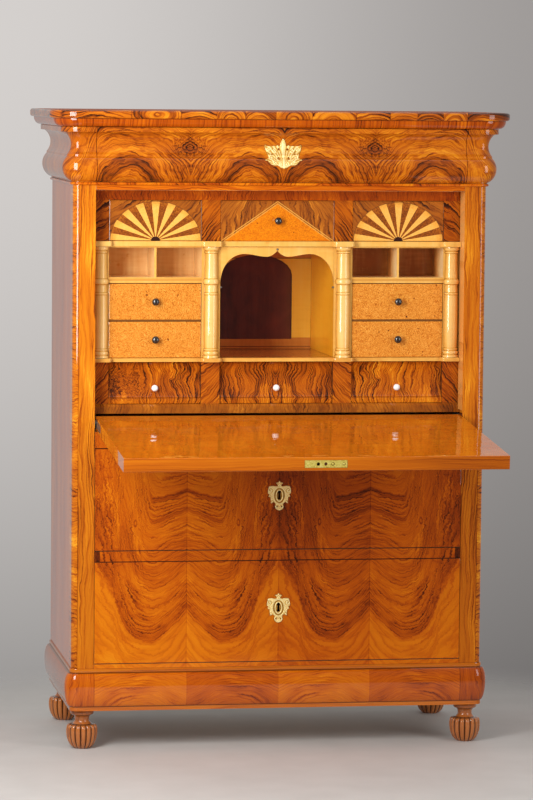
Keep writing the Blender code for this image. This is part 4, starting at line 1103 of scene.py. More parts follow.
def add_loft(mesh_data, rows, wrap=False, caps=False, lengths=None, material=0):
    """Skins rows of points. lengths gives each point's place for the grain, row by row."""
    layer = grain_layer(mesh_data)
    verts = [[mesh_data.verts.new(point) for point in row] for row in rows]
    count = len(rows[0])
    for row in range(len(rows) - 1):
        for col in range(count if wrap else count - 1):
            after = (col + 1) % count
            corners = [(row, col, col), (row, after, col + 1), (row + 1, after, col + 1), (row + 1, col, col)]
            face = mesh_data.faces.new([verts[place][index] for place, index, mark in corners])
            face.material_index = material
            if lengths is not None:
                for loop, (place, index, mark) in zip(face.loops, corners):
                    loop[layer].uv = lengths(place, mark)
    if caps:
        for row in (0, len(rows) - 1):
            face = mesh_data.faces.new(verts[row])
            face.material_index = material
            if lengths is not None:
                for mark, loop in enumerate(face.loops):
                    loop[layer].uv = lengths(row, mark)
    return verts


def section_lengths(section):
    """Length along a closed section at each of its points, and back at the first."""
    total = 0.0
    lengths = [total]
    for first, second in zip(section, section[1:] + section[:1]):
        total += math.dist(first, second)
        lengths.append(total)
    return lengths


def corner_stations(side, back):
    """Stations round a front corner and along its side: place, direction outwards, length from the middle."""
    corner_x = half_width - corner_radius
    corner_y = front_y + corner_radius
    quarter = corner_radius * math.pi / 2
    corner_steps = 14
    nearby = 0.001
    start_x = side * (corner_x - nearby)
    stations = [(start_x, front_y, 0.0, -1.0, start_x)]
    for step in range(corner_steps + 1):
        share = step / corner_steps
        out_x, out_y = side * math.sin(math.pi / 2 * share), -math.cos(math.pi / 2 * share)
        place_x = side * corner_x + corner_radius * out_x
        length = side * (corner_x + quarter * share)
        stations.append((place_x, corner_y + corner_radius * out_y, out_x, out_y, length))
    for behind in (nearby, back - corner_y):
        length = side * (corner_x + quarter + behind)
        stations.append((side * half_width, corner_y + behind, float(side), 0.0, length))
    return stations


def plan_stations(back, sides=(-1, 1), edge=0.0):
    """Stations from left to right, with a corner on each of the given sides, or else ending at the edge."""
    plain = [(edge, front_y, 0.0, -1.0, edge)]
    left = corner_stations(-1, back)[::-1] if -1 in sides else plain
    right = corner_stations(1, back) if 1 in sides else plain
    return left + right


def moulding(name, section, stations, body, keys, replaced):
    """Sweeps a closed section of (overhang, height) round the carcase.

    Points deeper than the rounded corner meet in a mitre behind it.
    """
    mesh_data = bmesh.new()
    lengths = section_lengths(section)
    deepest = 0.002 - corner_radius
    rows = []
    for place_x, place_y, out_x, out_y in (station[:4] for station in stations):
        at_corner = abs(place_x) > half_width - 0.02 and place_y < front_y + 0.03
        row = []
        for overhang, height in section:
            if at_corner and overhang < deepest:
                row.append((math.copysign(half_width + overhang, place_x), front_y - overhang, height))
            else:
                row.append((place_x + overhang * out_x, place_y + overhang * out_y, height))
        rows.append(row)
    add_loft(
        mesh_data, rows, wrap=True, caps=True,
        lengths=lambda row, mark: (stations[row][4], lengths[mark]),
    )
    return finish_piece(name, mesh_data, body, keys, replaced)


def capped_moulding(name, section, stations, body, keys, replaced):
    """A moulded board: a section of (overhang, height) round three sides, flat above and below."""
    mesh_data = bmesh.new()
    lengths = section_lengths(section)
    rows = []
    for overhang, height in section:
        rows.append([
            (place_x + overhang * out_x, place_y + overhang * out_y, height)
            for place_x, place_y, out_x, out_y in (station[:4] for station in stations)
        ])
    marks = [station[4] for station in stations] + [stations[-1][4]]
    add_loft(mesh_data, rows, wrap=True, lengths=lambda row, mark: (marks[mark], lengths[row]))
    mesh_data.verts.ensure_lookup_table()
    count = len(stations)
    for first in (0, len(mesh_data.verts) - count):
        face = mesh_data.faces.new(mesh_data.verts[first:first + count])
        face.material_index = 1
    return finish_piece(name, mesh_data, body, keys, replaced)


def ease_edges(mesh_data, edges, bevel, segments, material):
    """Rounds the given edges of a board."""
    eased = bmesh.ops.bevel(
        mesh_data, geom=edges, offset=bevel, segments=segments, profile=0.6, affect="EDGES",
        clamp_overlap=True,
    )
    for face in eased["faces"]:
        face.material_index = material


def add_block(mesh_data, low, high, bevel=0.0, material=0, segments=2):
    """A rectangular board with eased edges."""
    made = bmesh.ops.create_cube(mesh_data, size=1.0)
    centre = (Vector(low) + Vector(high)) / 2
    extent = Vector(high) - Vector(low)
    for vert in made["verts"]:
        vert.co = Vector([vert.co[axis] * extent[axis] + centre[axis] for axis in range(3)])
        for face in vert.link_faces:
            face.material_index = material
    if bevel > 0:
        # Each edge once, in an order that is the same in every run
        edges = list(dict.fromkeys(edge for vert in made["verts"] for edge in vert.link_edges))
        ease_edges(mesh_data, edges, bevel, segments, material)


def add_prism(mesh_data, outline, place, start, end, material=0, bevel=0.0, segments=2):
    """Extrudes an outline of (u, v) between two stations, with eased rims."""
    rows = [[place(u, v, station) for u, v in outline] for station in (start, end)]
    verts = add_loft(mesh_data, rows, wrap=True, caps=True, material=material)
    if bevel > 0:
        rim = []
        for row in verts:
            for first, second in zip(row, row[1:] + row[:1]):
                edge = mesh_data.edges.get((first, second))
                if edge is not None:
                    rim.append(edge)
        ease_edges(mesh_data, rim, bevel, segments, material)
    return verts


# Ways to lay out a prism: its outline lies in u and v, and it runs along the third axis


def along_x(u, v, station):
    return (station, u, v)


def along_y(u, v, station):
    return (u, station, v)


def along_z(u, v, station):
    return (u, v, station)


def towards_front(x, y, z):
    """Lays out a turned form whose axis points out of the front at a place."""
    return lambda u, v, station: (x + u, y - station, z + v)


def add_lathe(mesh_data, profile, sides, place, swell=None):
    """Turns a profile of (radius, height); swell may change the radius by angle and height."""
    rows = []
    for radius, height in profile:
        row = []
        for step in range(sides):
            angle = 2 * math.pi * step / sides
            wide = radius if swell is None else swell(radius, height, angle)
            row.append(place(wide * math.cos(angle), wide * math.sin(angle), height))
        rows.append(row)
    add_loft(mesh_data, rows, wrap=True, caps=True)


# Mouldings

frieze_low, frieze_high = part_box("frieze_return_left")
frieze_level = frieze_low.z
frieze_top = frieze_high.z
frieze_board = 0.022
drawer_board = 0.020


def frieze_section(inner, foot, top):
    """Bulge, cove and fillet of the frieze, closed at its inner side."""
    bulge, bulge_level, cove, cove_level = 0.0365, 0.0335, 0.0344, 0.0866
    fillet, fillet_foot, ease = 0.0290, 0.1155, 0.0006
    low_angle = math.degrees(math.asin(bulge_level / bulge))
    high_angle = math.degrees(math.asin((fillet_foot - cove_level) / cove))
    curve = arc(-0.0115, bulge_level, bulge, bulge, 8 - low_angle, 44, 28)
    curve += arc(0.0397, cove_level, cove, cove, 222, 180 - high_angle, 20)
    curve += [(fillet - ease, fillet_foot), (fillet, fillet_foot + 0.0008)]
    points = [(0.0035, foot), (0.0035, frieze_level + 0.0014)]
    points += [(u, frieze_level + v) for u, v in curve]
    points += [(fillet, top - ease), (fillet - ease, top), (-inner, top), (-inner, foot)]
    return points


def make_frieze_returns():
    """Ends of the frieze, round the corners and along the sides."""
    frieze = frieze_section(frieze_board, frieze_level, frieze_top)
    for side, label in ((-1, "left"), (1, "right")):
        stations = plan_stations(back_y, (side,), side * opening_half)
        moulding("frieze_end_" + label, frieze, stations, "carcase", ["frieze"], ("frieze_return_" + label,))


def make_cornice_moulding():
    """Slab with rounded edges over an ovolo, hollow below."""
    low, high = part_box("cornice")
    slab_level = high.z - slab_thickness
    ovolo_top = slab_level - fit_gap
    ovolo_start, ovolo_reach, slab_overhang, ease = 0.031, 0.015, 0.055, 0.006
    section = [(ovolo_start - 0.0005, low.z)]
    section += arc(ovolo_start, ovolo_top, ovolo_reach, ovolo_top - low.z, -90, 0, 14)
    section += [(ovolo_start + ovolo_reach + 0.0005, slab_level)]
    section += arc(slab_overhang - ease, slab_level + ease, ease, ease, -90, 0, 7)
    section += arc(slab_overhang - ease, high.z - ease, ease, ease, 0, 90, 7)
    cornice = capped_moulding(
        "cornice_moulding", section, plan_stations(back_y), "carcase", ["cornice", "top"], ("cornice",)
    )
    mesh_data = bmesh.new()
    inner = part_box("side_left")[1].x
    front_wall, beyond = 0.030, 0.02
    low_corner = (inner, front_y + front_wall, low.z - beyond / 2)
    add_block(mesh_data, low_corner, (-inner, back_y + beyond, ovolo_top))
    carve(cornice, finish_piece("cornice_hollow", mesh_data, None, ["pine"]))


def make_compartment_top():
    """Board over the writing compartment with a thin astragal on top."""
    low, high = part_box("astragal_board")
    nose_reach, nose_half, nose_start = 0.004, 0.00345, 0.003
    middle = high.z - nose_half - fit_gap
    nose = arc(nose_start, middle, nose_reach, nose_half, -90, 90, 12)
    capped_moulding(
        "astragal_moulding", nose, plan_stations(high.y), "carcase", ["astragal", "pine"], ("astragal_board",)
    )
    mesh_data = bmesh.new()
    reach = opening_half - fit_gap
    add_block(mesh_data, (-reach, front_y, low.z), (reach, high.y, middle), 0.0004, 0, 1)
    mark_faces(mesh_data, lambda normal: 0 if normal.y < -0.8 else 1)
    finish_piece("compartment_top", mesh_data, "carcase", ["long", "pine"], (), False)


def make_plinth():
    """Plinth with a bulge between its fillets."""
    low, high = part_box("plinth")
    board, start, bulge_reach, widest = 0.050, 0.003, 0.012, 0.0575
    curve = arc(start, widest, bulge_reach, 0.0475, -90, 0, 16)
    curve += arc(start, widest, bulge_reach, 0.033, 0, 90, 16)[1:]
    curve += [(0.0025, 0.0905), (0.0032, 0.0925), (0.0034, 0.0953), (0.0032, 0.0980)]
    section = [(start, low.z)] + [(u, low.z + v) for u, v in curve]
    section += [(0.0025, high.z), (-board, high.z), (-board, low.z)]
    moulding("plinth_moulding", section, plan_stations(back_y), "carcase", ["plinth"], ("plinth",))


def make_stiles():
    """Front posts with a rounded corner and the lever slot."""
    for side, label in ((-1, "left"), (1, "right")):
        node = "stile_" + label
        low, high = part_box(node)
        corner_x = side * (half_width - corner_radius)
        quarter = arc(0.0, 0.0, corner_radius, corner_radius, 0, -90, 14)
        nearby = 0.001
        outline = [(side * opening_half, front_y), (corner_x - side * nearby, front_y)]
        outline += [(corner_x + side * u, front_y + corner_radius + v) for u, v in reversed(quarter)]
        outline.append((side * half_width, front_y + corner_radius + nearby))
        outline += [(side * half_width, high.y), (side * opening_half, high.y)]
        mesh_data = bmesh.new()
        add_prism(mesh_data, outline, along_z, low.z, high.z)
        piece = finish_piece("post_" + label, mesh_data, "carcase", ["stile"], (node,))
        lever_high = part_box("flap_lever_" + label)[1]
        mesh_data = bmesh.new()
        near = side * (opening_half - 0.01)
        far = side * (opening_half + 0.0052)
        # The tail of the lever hangs straight down when the flap is closed
        tail_reach = lever_high.y - pivot_y
        slot_front, slot_foot, slot_top = front_y + 0.0035, pivot_z - tail_reach - 0.006, lever_high.z + 0.008
        add_block(
            mesh_data, (min(near, far), slot_front, slot_foot), (max(near, far), high.y + 0.01, slot_top)
        )
        carve(piece, finish_piece("slot_" + label, mesh_data, None, ["stile"]))
        pin_hole, pin_depth = 0.0043, 0.0118
        cut_prism(
            piece, ["stile"], round_hole(pivot_y, pivot_z, pin_hole), along_x,
            side * opening_half, side * (opening_half + pin_depth),
        )


def make_frieze_drawer():
    """Frieze drawer: the moulded front with a pine box behind it."""
    low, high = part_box("frieze_drawer")
    half = high.x
    stations = [(x, front_y, 0.0, -1.0, x) for x in (-half, -half / 2, 0.0, half / 2, half)]
    section = frieze_section(drawer_board, low.z, high.z)
    moulding("frieze_front", section, stations, "frieze_drawer_body", ["frieze"], ("frieze_drawer",))
    mesh_data = bmesh.new()
    rim, wall, bottom = high.z - 0.020, 0.010, 0.007
    add_tray(mesh_data, half - 0.0001, front_y + drawer_board, high.y, low.z, rim, wall, bottom)
    finish_piece("frieze_box", mesh_data, "frieze_drawer_body", ["pine"], (), False)


def add_tray(mesh_data, half, near, far, floor, rim, wall, bottom, centre=0.0, material=0):
    """Sides, back and bottom of a drawer behind its front."""
    ease = 0.0006
    left, right = centre - half, centre + half
    add_block(mesh_data, (left, near, floor), (left + wall, far, rim), ease, material, 1)
    add_block(mesh_data, (right - wall, near, floor), (right, far, rim), ease, material, 1)
    add_block(mesh_data, (left + wall, far - wall, floor), (right - wall, far, rim), ease, material, 1)
    inner = left + wall
    add_block(mesh_data, (inner, near, floor), (right - wall, far - wall, floor + bottom), 0.0, material)


def add_small_box(mesh_data, low, high, near):
    """Thin box of a gallery drawer from near its front to its back, in the second material."""
    centre, half = (low.x + high.x) / 2, (high.x - low.x) / 2
    rim, wall, bottom = high.z - 0.006, 0.005, 0.004
    add_tray(mesh_data, half, near, high.y, low.z, rim, wall, bottom, centre, 1)


def make_large_fronts():
    """Veneered fronts of the large drawers, with eased edges."""
    for label in ("lower", "upper"):
        node = label + "_drawer_front"
        low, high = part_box(node)
        mesh_data = bmesh.new()
        add_block(mesh_data, low, high, 0.0011, 0, 3)
        # All faces but the front get the dark edge walnut, as painted shade
        mark_faces(mesh_data, lambda normal: 0 if normal.y < -0.8 else 1)
        keys = ["front", "edge"]
        piece = finish_piece(label + "_front", mesh_data, label + "_drawer", keys, (node,), False)
        plate_low, plate_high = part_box("escutcheon_" + label)
        middle = (plate_low.z + plate_high.z) / 2
        outline = [(u, middle + v) for u, v in keyhole()]
        cut_prism(piece, keys, outline, along_y, low.y - 0.005, low.y + 0.014, 1, True)


burl_drawers = ["burl_drawer_" + side + "_" + row for side in ("left", "right") for row in ("upper", "lower")]


def make_small_drawers():
    """Burl, fan and pediment drawers: a bevelled front before a thin-walled box."""
    names = [(node, "burl") for node in burl_drawers]
    names += [("fan_drawer_left", "fan"), ("fan_drawer_right", "fan"), ("pediment_drawer", "pediment")]
    for node, key in names:
        low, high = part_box(node)
        mesh_data = bmesh.new()
        add_block(mesh_data, low, (high.x, low.y + front_thickness, high.z), 0.0012, 0, 2)
        add_small_box(mesh_data, low, high, low.y + front_thickness)
        finish_piece(node + "_piece", mesh_data, node + "_body", [key, "pine"], (node,), False)


def make_cove_drawers():
    """Base drawers with a concave front over a rounded lip."""
    for label in ("left", "centre", "right"):
        node = "base_drawer_" + label
        low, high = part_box(node)
        height = high.z - low.z
        board, lip, hollow, round_foot = 0.025, 0.0135, 0.013, 0.0024
        middle = (height + lip) / 2
        half = (height - lip) / 2
        section = [(board, height), (0.0012, height), (0.0002, height - 0.0006)]
        section += arc(0.0, middle, hollow, half - 0.0008, -90, 90, 24)[::-1]
        section += [(0.0, lip - 0.0004)]
        section += arc(round_foot, round_foot, round_foot, round_foot, 180, 270, 5)
        section += [(board, 0.0)]
        outline = [(low.y + u, low.z + v) for u, v in section]
        mesh_data = bmesh.new()
        add_prism(mesh_data, outline, along_x, low.x, high.x)
        # The ends get the dark edge walnut, as painted shade
        mark_faces(mesh_data, lambda normal: 2 if abs(normal.x) > 0.9 else 0)
        add_small_box(mesh_data, low, high, low.y + board)
        finish_piece(node + "_piece", mesh_data, node + "_body", ["cove", "pine", "edge"], (node,))


def keyhole():
    """Front view of a keyhole: a round eye over a slot that widens downwards."""
    radius, rise = 0.0038, 0.008
    slot_half, foot_half, length = 0.0022, 0.0035, 0.017
    start = math.degrees(math.asin(slot_half / radius))
    eye = arc(0.0, rise, radius, radius, -90 + start, 270 - start, 22)
    return eye + [(-foot_half, rise - length), (foot_half, rise - length)]


def rounded_outline(shares, half, height):
    """A mirrored outline from shares of half the width and of the height, rounded between its points."""
    steps, roundness = 7, 0.7
    right = [(half * wide, height * high) for wide, high in shares]
    points = [Vector(point) for point in right + [(-x, z) for x, z in reversed(right[1:-1])]]
    count = len(points)
    result = []
    for index in range(count):
        before, first, second, after = (points[(index + shift) % count] for shift in (-1, 0, 1, 2))
        for step in range(steps):
            share = step / steps
            curve = 0.5 * (
                2 * first + (second - before) * share
                + (2 * before - 5 * first + 4 * second - after) * share ** 2
                + (3 * first - before - 3 * second + after) * share ** 3
            )
            point = first.lerp(second, share).lerp(curve, roundness)
            point.x = max(-half, min(half, point.x))
            point.y = max(-height / 2, min(height / 2, point.y))
            result.append(point)
    return result


def ring_points(centre_u, centre_v, radius_u, radius_v, turn=0.0, steps=14):
    """A small oval hole, turned by an angle in degrees."""
    cosine, sine = math.cos(math.radians(turn)), math.sin(math.radians(turn))
    points = []
    for u, v in arc(0.0, 0.0, radius_u, radius_v, 0, 360, steps)[:-1]:
        points.append(Vector((centre_u + u * cosine - v * sine, centre_v + u * sine + v * cosine)))
    return points


def round_hole(centre_u, centre_v, radius):
    """A finely divided circle."""
    return ring_points(centre_u, centre_v, radius, radius, 0.0, 24)


def is_inside(point, loop):
    """Whether a point lies within a closed loop."""
    inside = False
    for first, second in zip(loop, loop[1:] + loop[:1]):
        if (first.y > point.y) != (second.y > point.y):
            crossing = first.x + (point.y - first.y) * (second.x - first.x) / (second.y - first.y)
            if point.x < crossing:
                inside = not inside
    return inside


def hump(value):
    """1 at zero, falling off softly on both sides."""
    return math.exp(-value * value)


def volute(side, v, centre_u, centre_v, radius, height):
    """Blends a coiled scroll of the given radius into a height."""
    gone = math.hypot(side - centre_u, v - centre_v)
    if gone > radius:
        return height
    turn = math.atan2(v - centre_v, side - centre_u)
    coil = 0.5 + 0.5 * math.cos(gone / radius * 8.5 - turn)
    fade = min(1.0, (radius - gone) / radius * 4.0)
    return height * (1 - fade) + (0.18 + 0.82 * coil) * fade


def cartouche_relief(u, v):
    """Height share of a key plate: two oval borders, leaf ribs, scrolls and a finial."""
    side = abs(u)
    inner = math.hypot(u / 0.0078, v / 0.0130) - 1.0
    outer = math.hypot(u / 0.0142, v / 0.0198) - 1.0
    ribs = 0.5 + 0.5 * math.cos((side * 0.9 + v * 0.55) * 2100.0)
    beyond = min(1.0, max(0.0, outer / 0.12))
    height = 0.20 + beyond * (0.15 + 0.50 * ribs)
    height = max(height, hump(inner / 0.13), 0.85 * hump(outer / 0.085))
    for place in (
        (0.0215, 0.0125, 0.0068), (0.0236, -0.0005, 0.0044), (0.0182, -0.0140, 0.0048),
        (0.0050, -0.0262, 0.0050), (0.0044, 0.0292, 0.0040),
    ):
        height = volute(side, v, *place, height)
    return height


def winged_relief(u, v):
    """Height share of the frieze ornament: a stem, ribbed wings, scrolls and a basket."""
    side = abs(u)
    turn = math.atan2(v + 0.034, side)
    ribs = 0.5 + 0.5 * math.cos(turn * 46.0 + side * 160.0)
    height = 0.25 + 0.42 * ribs
    basket = math.hypot(u / 0.030, (v + 0.004) / 0.026) - 1.0
    height = max(height, 0.9 * hump(basket / 0.07) * (1.0 if v < 0 else 0.0), hump(u / 0.0028))
    for place in (
        (0.0200, 0.0050, 0.0058), (0.0345, 0.0085, 0.0048), (0.0292, -0.0098, 0.0060),
        (0.0125, -0.0125, 0.0058), (0.0200, -0.0215, 0.0052), (0.0070, -0.0240, 0.0048),
        (0.0, 0.0290, 0.0036),
    ):
        height = volute(side, v, *place, height)
    return height


cartouche_shares = (
    (0.0, 0.5), (0.10, 0.46), (0.31, 0.42), (0.16, 0.357), (0.25, 0.31), (0.60, 0.33), (0.87, 0.31),
    (0.96, 0.20), (0.99, 0.08), (0.87, 0.045), (0.93, -0.035), (0.76, -0.07), (0.71, -0.26),
    (0.50, -0.22), (0.33, -0.28), (0.37, -0.38), (0.27, -0.455), (0.0, -0.5),
)
winged_shares = (
    (0.0, 0.5), (0.13, 0.36), (0.17, 0.256), (0.33, 0.28), (0.35, 0.256), (0.85, 0.245), (0.93, 0.29),
    (1.0, 0.25), (0.93, 0.06), (0.85, -0.035), (0.82, -0.15), (0.98, -0.20), (0.98, -0.24),
    (0.86, -0.25), (0.82, -0.28), (0.70, -0.36), (0.55, -0.41), (0.38, -0.40), (0.27, -0.43),
    (0.15, -0.49), (0.0, -0.5),
)


def triangles_within(points, loops):
    """Triangles inside the first loop and outside the others, through all the points."""
    edges = []
    first = 0
    for loop in loops:
        edges += [(first + index, first + (index + 1) % len(loop)) for index in range(len(loop))]
        first += len(loop)
    result = geometry.delaunay_2d_cdt(points, edges, [], 0, 0.00000001)
    spots, faces, origins = result[0], result[2], result[3]
    kept = []
    for corners in faces:
        centre = sum((spots[corner] for corner in corners), Vector((0.0, 0.0))) / len(corners)
        if is_inside(centre, loops[0]) and not any(is_inside(centre, hole) for hole in loops[1:]):
            kept.append(corners)
    return spots, kept, origins


def add_relief(mesh_data, outline, holes, relief, place, thickness):
    """A cast plate with a pierced outline, a modelled face and a flat back."""
    spacing, rim_share, roll = 0.00082, 0.45, 0.0013
    loops = [outline] + holes
    rim = [point for loop in loops for point in loop]
    near_rim = kdtree.KDTree(len(rim))
    for index, point in enumerate(rim):
        near_rim.insert((point.x, point.y, 0.0), index)
    near_rim.balance()
    low_u, high_u = min(point.x for point in outline), max(point.x for point in outline)
    low_v, high_v = min(point.y for point in outline), max(point.y for point in outline)
    inner = []
    for row in range(int((high_v - low_v) / spacing)):
        for column in range(int((high_u - low_u) / spacing)):
            along = column + 0.5 * (row % 2) + 0.25
            point = Vector((low_u + along * spacing, low_v + (row + 0.5) * spacing))
            gap = near_rim.find((point.x, point.y, 0.0))[2]
            if gap > spacing * 0.6 and is_inside(point, outline):
                if not any(is_inside(point, hole) for hole in holes):
                    inner.append(point)
    layer = grain_layer(mesh_data)
    spots, faces, origins = triangles_within(rim + inner, loops)
    verts, heights, rim_verts = [], [], {}
    for index, spot in enumerate(spots):
        sources = [source for source in origins[index] if source < len(rim)]
        gap = 0.0 if sources else near_rim.find((spot.x, spot.y, 0.0))[2]
        rise = math.sqrt(max(0.0, 1.0 - (1.0 - min(1.0, gap / roll)) ** 2))
        height = relief(spot.x, spot.y) * rise
        share = rim_share + (1.0 - rim_share) * height
        verts.append(mesh_data.verts.new(place(spot.x, spot.y, thickness * share)))
        heights.append(height)
        for source in sources:
            rim_verts[source] = verts[-1]
    for corners in faces:
        face = mesh_data.faces.new([verts[corner] for corner in corners])
        for loop, corner in zip(face.loops, corners):
            loop[layer].uv = (heights[corner], 0.0)
    back = [mesh_data.verts.new(place(point.x, point.y, 0.0)) for point in rim]
    first = 0
    for loop in loops:
        for index in range(len(loop)):
            here, there = first + index, first + (index + 1) % len(loop)
            mesh_data.faces.new((rim_verts[here], rim_verts[there], back[there], back[here]))
        first += len(loop)
    spots, faces, origins = triangles_within(rim, loops)
    for corners in faces:
        mesh_data.faces.new([back[origins[corner][0]] for corner in corners])


def make_mounts():
    """Pierced key plates on the drawers and the flap, and the ornament bent round the frieze."""
    plate_low, plate_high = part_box("escutcheon_lower")
    thickness = drawer_low.y - fit_gap - plate_low.y
    half, height = plate_high.x, plate_high.z - plate_low.z
    outline = rounded_outline(cartouche_shares, half, height)
    holes = [[Vector(point) for point in keyhole()]]
    holes += [ring_points(side * 0.0050, -0.0262, 0.0013, 0.0013) for side in (-1, 1)]
    for label in ("lower", "upper"):
        node = "escutcheon_" + label
        low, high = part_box(node)
        level = (low.z + high.z) / 2
        mesh_data = bmesh.new()
        add_relief(
            mesh_data, outline, holes, cartouche_relief,
            lambda u, v, depth: (u, high.y - depth, level + v), thickness,
        )
        finish_piece("key_plate_" + label, mesh_data, label + "_drawer", ["gilt"], (node,))
    drop = 0.055
    seat = -flap_half_thickness - fit_gap
    mesh_data = bmesh.new()
    add_relief(
        mesh_data, outline, holes, cartouche_relief,
        lambda u, v, depth: on_flap(u, drop - flap_reach - v, seat - depth), thickness,
    )
    finish_piece("key_plate_flap", mesh_data, "flap", ["gilt"], ("escutcheon_flap",))

    section = frieze_section(drawer_board, frieze_level, frieze_top)[1:-4]
    levels = [level for overhang, level in section]
    overhangs = [overhang for overhang, level in section]
    low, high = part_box("escutcheon_frieze")
    level = (low.z + high.z) / 2
    holes = []
    for side in (-1, 1):
        holes.append(ring_points(side * 0.0102, 0.0094, 0.0022, 0.0024))
        holes.append(ring_points(side * 0.0275, -0.0018, 0.0026, 0.0010, side * 12))
        holes.append(ring_points(side * 0.0116, -0.0118, 0.0015, 0.0034, side * -24))

    def round_frieze(u, v, depth):
        overhang = float(np.interp(level + v, levels, overhangs))
        return (u, front_y - overhang - fit_gap - depth, level + v)

    mesh_data = bmesh.new()
    outline = rounded_outline(winged_shares, high.x, high.z - low.z)
    add_relief(mesh_data, outline, holes, winged_relief, round_frieze, thickness)
    finish_piece("frieze_ornament", mesh_data, "frieze_drawer_body", ["gilt"], ("escutcheon_frieze",))


# Flap, measured from its pivot: u along the pivot, v away from it and w square to its faces
pivot_y = 0.0412
pivot_z = 0.7705
flap_reach = 0.5425
flap_half_thickness = 0.0155
flap_half_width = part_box("flap_panel")[1].x
lever_recess = 0.0047


def on_flap(u, v, w):
    """Place on the open flap in the frame of the carcase."""
    return (
        u,
        pivot_y + v * math.cos(droop) - w * math.sin(droop),
        pivot_z + v * math.sin(droop) + w * math.cos(droop),
    )


def along_pivot(u, v, station):
    """The outline lies across the flap, and the prism runs along its pivot."""
    return on_flap(station, u, v)


def into_edge(u, v, station):
    """The outline lies on the flap's long edge, and the prism runs into it."""
    return on_flap(u, station - flap_reach, v)


def through_flap(u, v, station):
    """The outline lies on the flap's faces, and the prism runs through them."""
    return on_flap(u, v, station)


def make_flap():
    """Flap with eased edges, recesses for its levers and lock, and the lock's brass edge plate."""
    half = flap_half_thickness
    ease = 0.0016
    outline = arc(-flap_reach + ease, -half + ease, ease, ease, 180, 270, 4)
    outline += arc(0.0, 0.0, half, half, -90, 90, 20)
    outline += arc(-flap_reach + ease, half - ease, ease, ease, 90, 180, 4)
    mesh_data = bmesh.new()
    add_prism(mesh_data, outline, along_pivot, -flap_half_width, flap_half_width)
    for face in mesh_data.faces:
        face.normal_update()
    bmesh.ops.recalc_face_normals(mesh_data, faces=mesh_data.faces)
    mark_faces(mesh_data, lambda normal: 0 if normal.z > 0.9 else 1 if normal.z < -0.9 else 2)
    keys = ["flap", "outer", "lipping", "edge"]
    panel = finish_piece("fall_flap", mesh_data, "flap", keys, ("flap_panel",), True, True)
    cut_start = -0.004
    bar = 0.010 + fit_gap
    plate_length = 0.090
    lever_outline = arc(0.0, 0.0, bar, bar, -90, 90, 12) + arc(-plate_length, 0.0, bar, bar, 90, 270, 12)
    # Recesses cut into the flap take the dark edge walnut, as painted shade
    for side in (-1, 1):
        near, far = side * (flap_half_width - lever_recess - fit_gap), side * (flap_half_width - cut_start)
        cut_prism(panel, keys, lever_outline, along_pivot, near, far, 3, True)
    lock_low, lock_high = (corner.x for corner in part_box("flap_lock_plate"))
    lock_half, lock_thickness = 0.0085, 0.0015
    bolt_radius, bolt_depth, screw_inset, turn_x = 0.0038, 0.016, 0.0075, 0.033
    left, right, up = lock_low - fit_gap, lock_high + fit_gap, lock_half + fit_gap
    seat = [(left, -up), (right, -up), (right, up), (left, up)]
    cut_prism(panel, keys, seat, into_edge, cut_start, lock_thickness + fit_gap, 3, True)
    cut_prism(panel, keys, round_hole(0.0, 0.0, bolt_radius), into_edge, cut_start, bolt_depth, 3, True)
    key_bore = [(u, 0.039 - flap_reach - v) for u, v in keyhole()]
    cut_prism(panel, keys, key_bore, through_flap, cut_start - half, -0.002, 3, True)

    mesh_data = bmesh.new()
    rim = [(lock_low, -lock_half), (lock_high, -lock_half), (lock_high, lock_half), (lock_low, lock_half)]
    add_prism(mesh_data, rim, into_edge, fit_gap, lock_thickness, 0, 0.0003, 1)
    keys = ["brass", "edge"]
    plate = finish_piece("lock_plate", mesh_data, "flap", keys, ("flap_lock_plate",), True, True)
    # Holes in the plate get the dark edge walnut, as painted shade
    holes = ((0.0, bolt_radius), (0.017, 0.0036), (turn_x, bolt_radius), (lock_high - screw_inset, 0.0034))
    for centre, radius in holes:
        cut_prism(plate, keys, round_hole(centre, 0.0, radius), into_edge, -0.003, 0.003, 1, True)
    mesh_data = bmesh.new()
    screws = ((lock_low + screw_inset, 0.0026), (lock_high - screw_inset, 0.0024), (turn_x, 0.0025))
    for centre, radius in screws:
        profile = [(radius, 0.0026), (radius, 0.0006), (radius * 0.8, 0.00025), (radius * 0.3, 0.0001)]
        add_lathe(mesh_data, profile, 24, lambda u, v, station: into_edge(centre + u, v, station))
    finish_piece("lock_screws", mesh_data, "flap", ["brass"])


def make_back():
    """Upright boards of the back panel, with a shadow gap between them."""
    low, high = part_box("back_panel")
    count = 5
    width = (high.x - low.x) / count
    mesh_data = bmesh.new()
    for index in range(count):
        left = low.x + index * width
        gap_left = 0.0 if index == 0 else fit_gap
        gap_right = 0.0 if index == count - 1 else fit_gap
        right = left + width - gap_right
        add_block(mesh_data, (left + gap_left, low.y, low.z), (right, high.y, high.z), 0.0014, 0, 1)
    finish_piece("back_boards", mesh_data, "carcase", ["back_pine"], ("back_panel",), False)


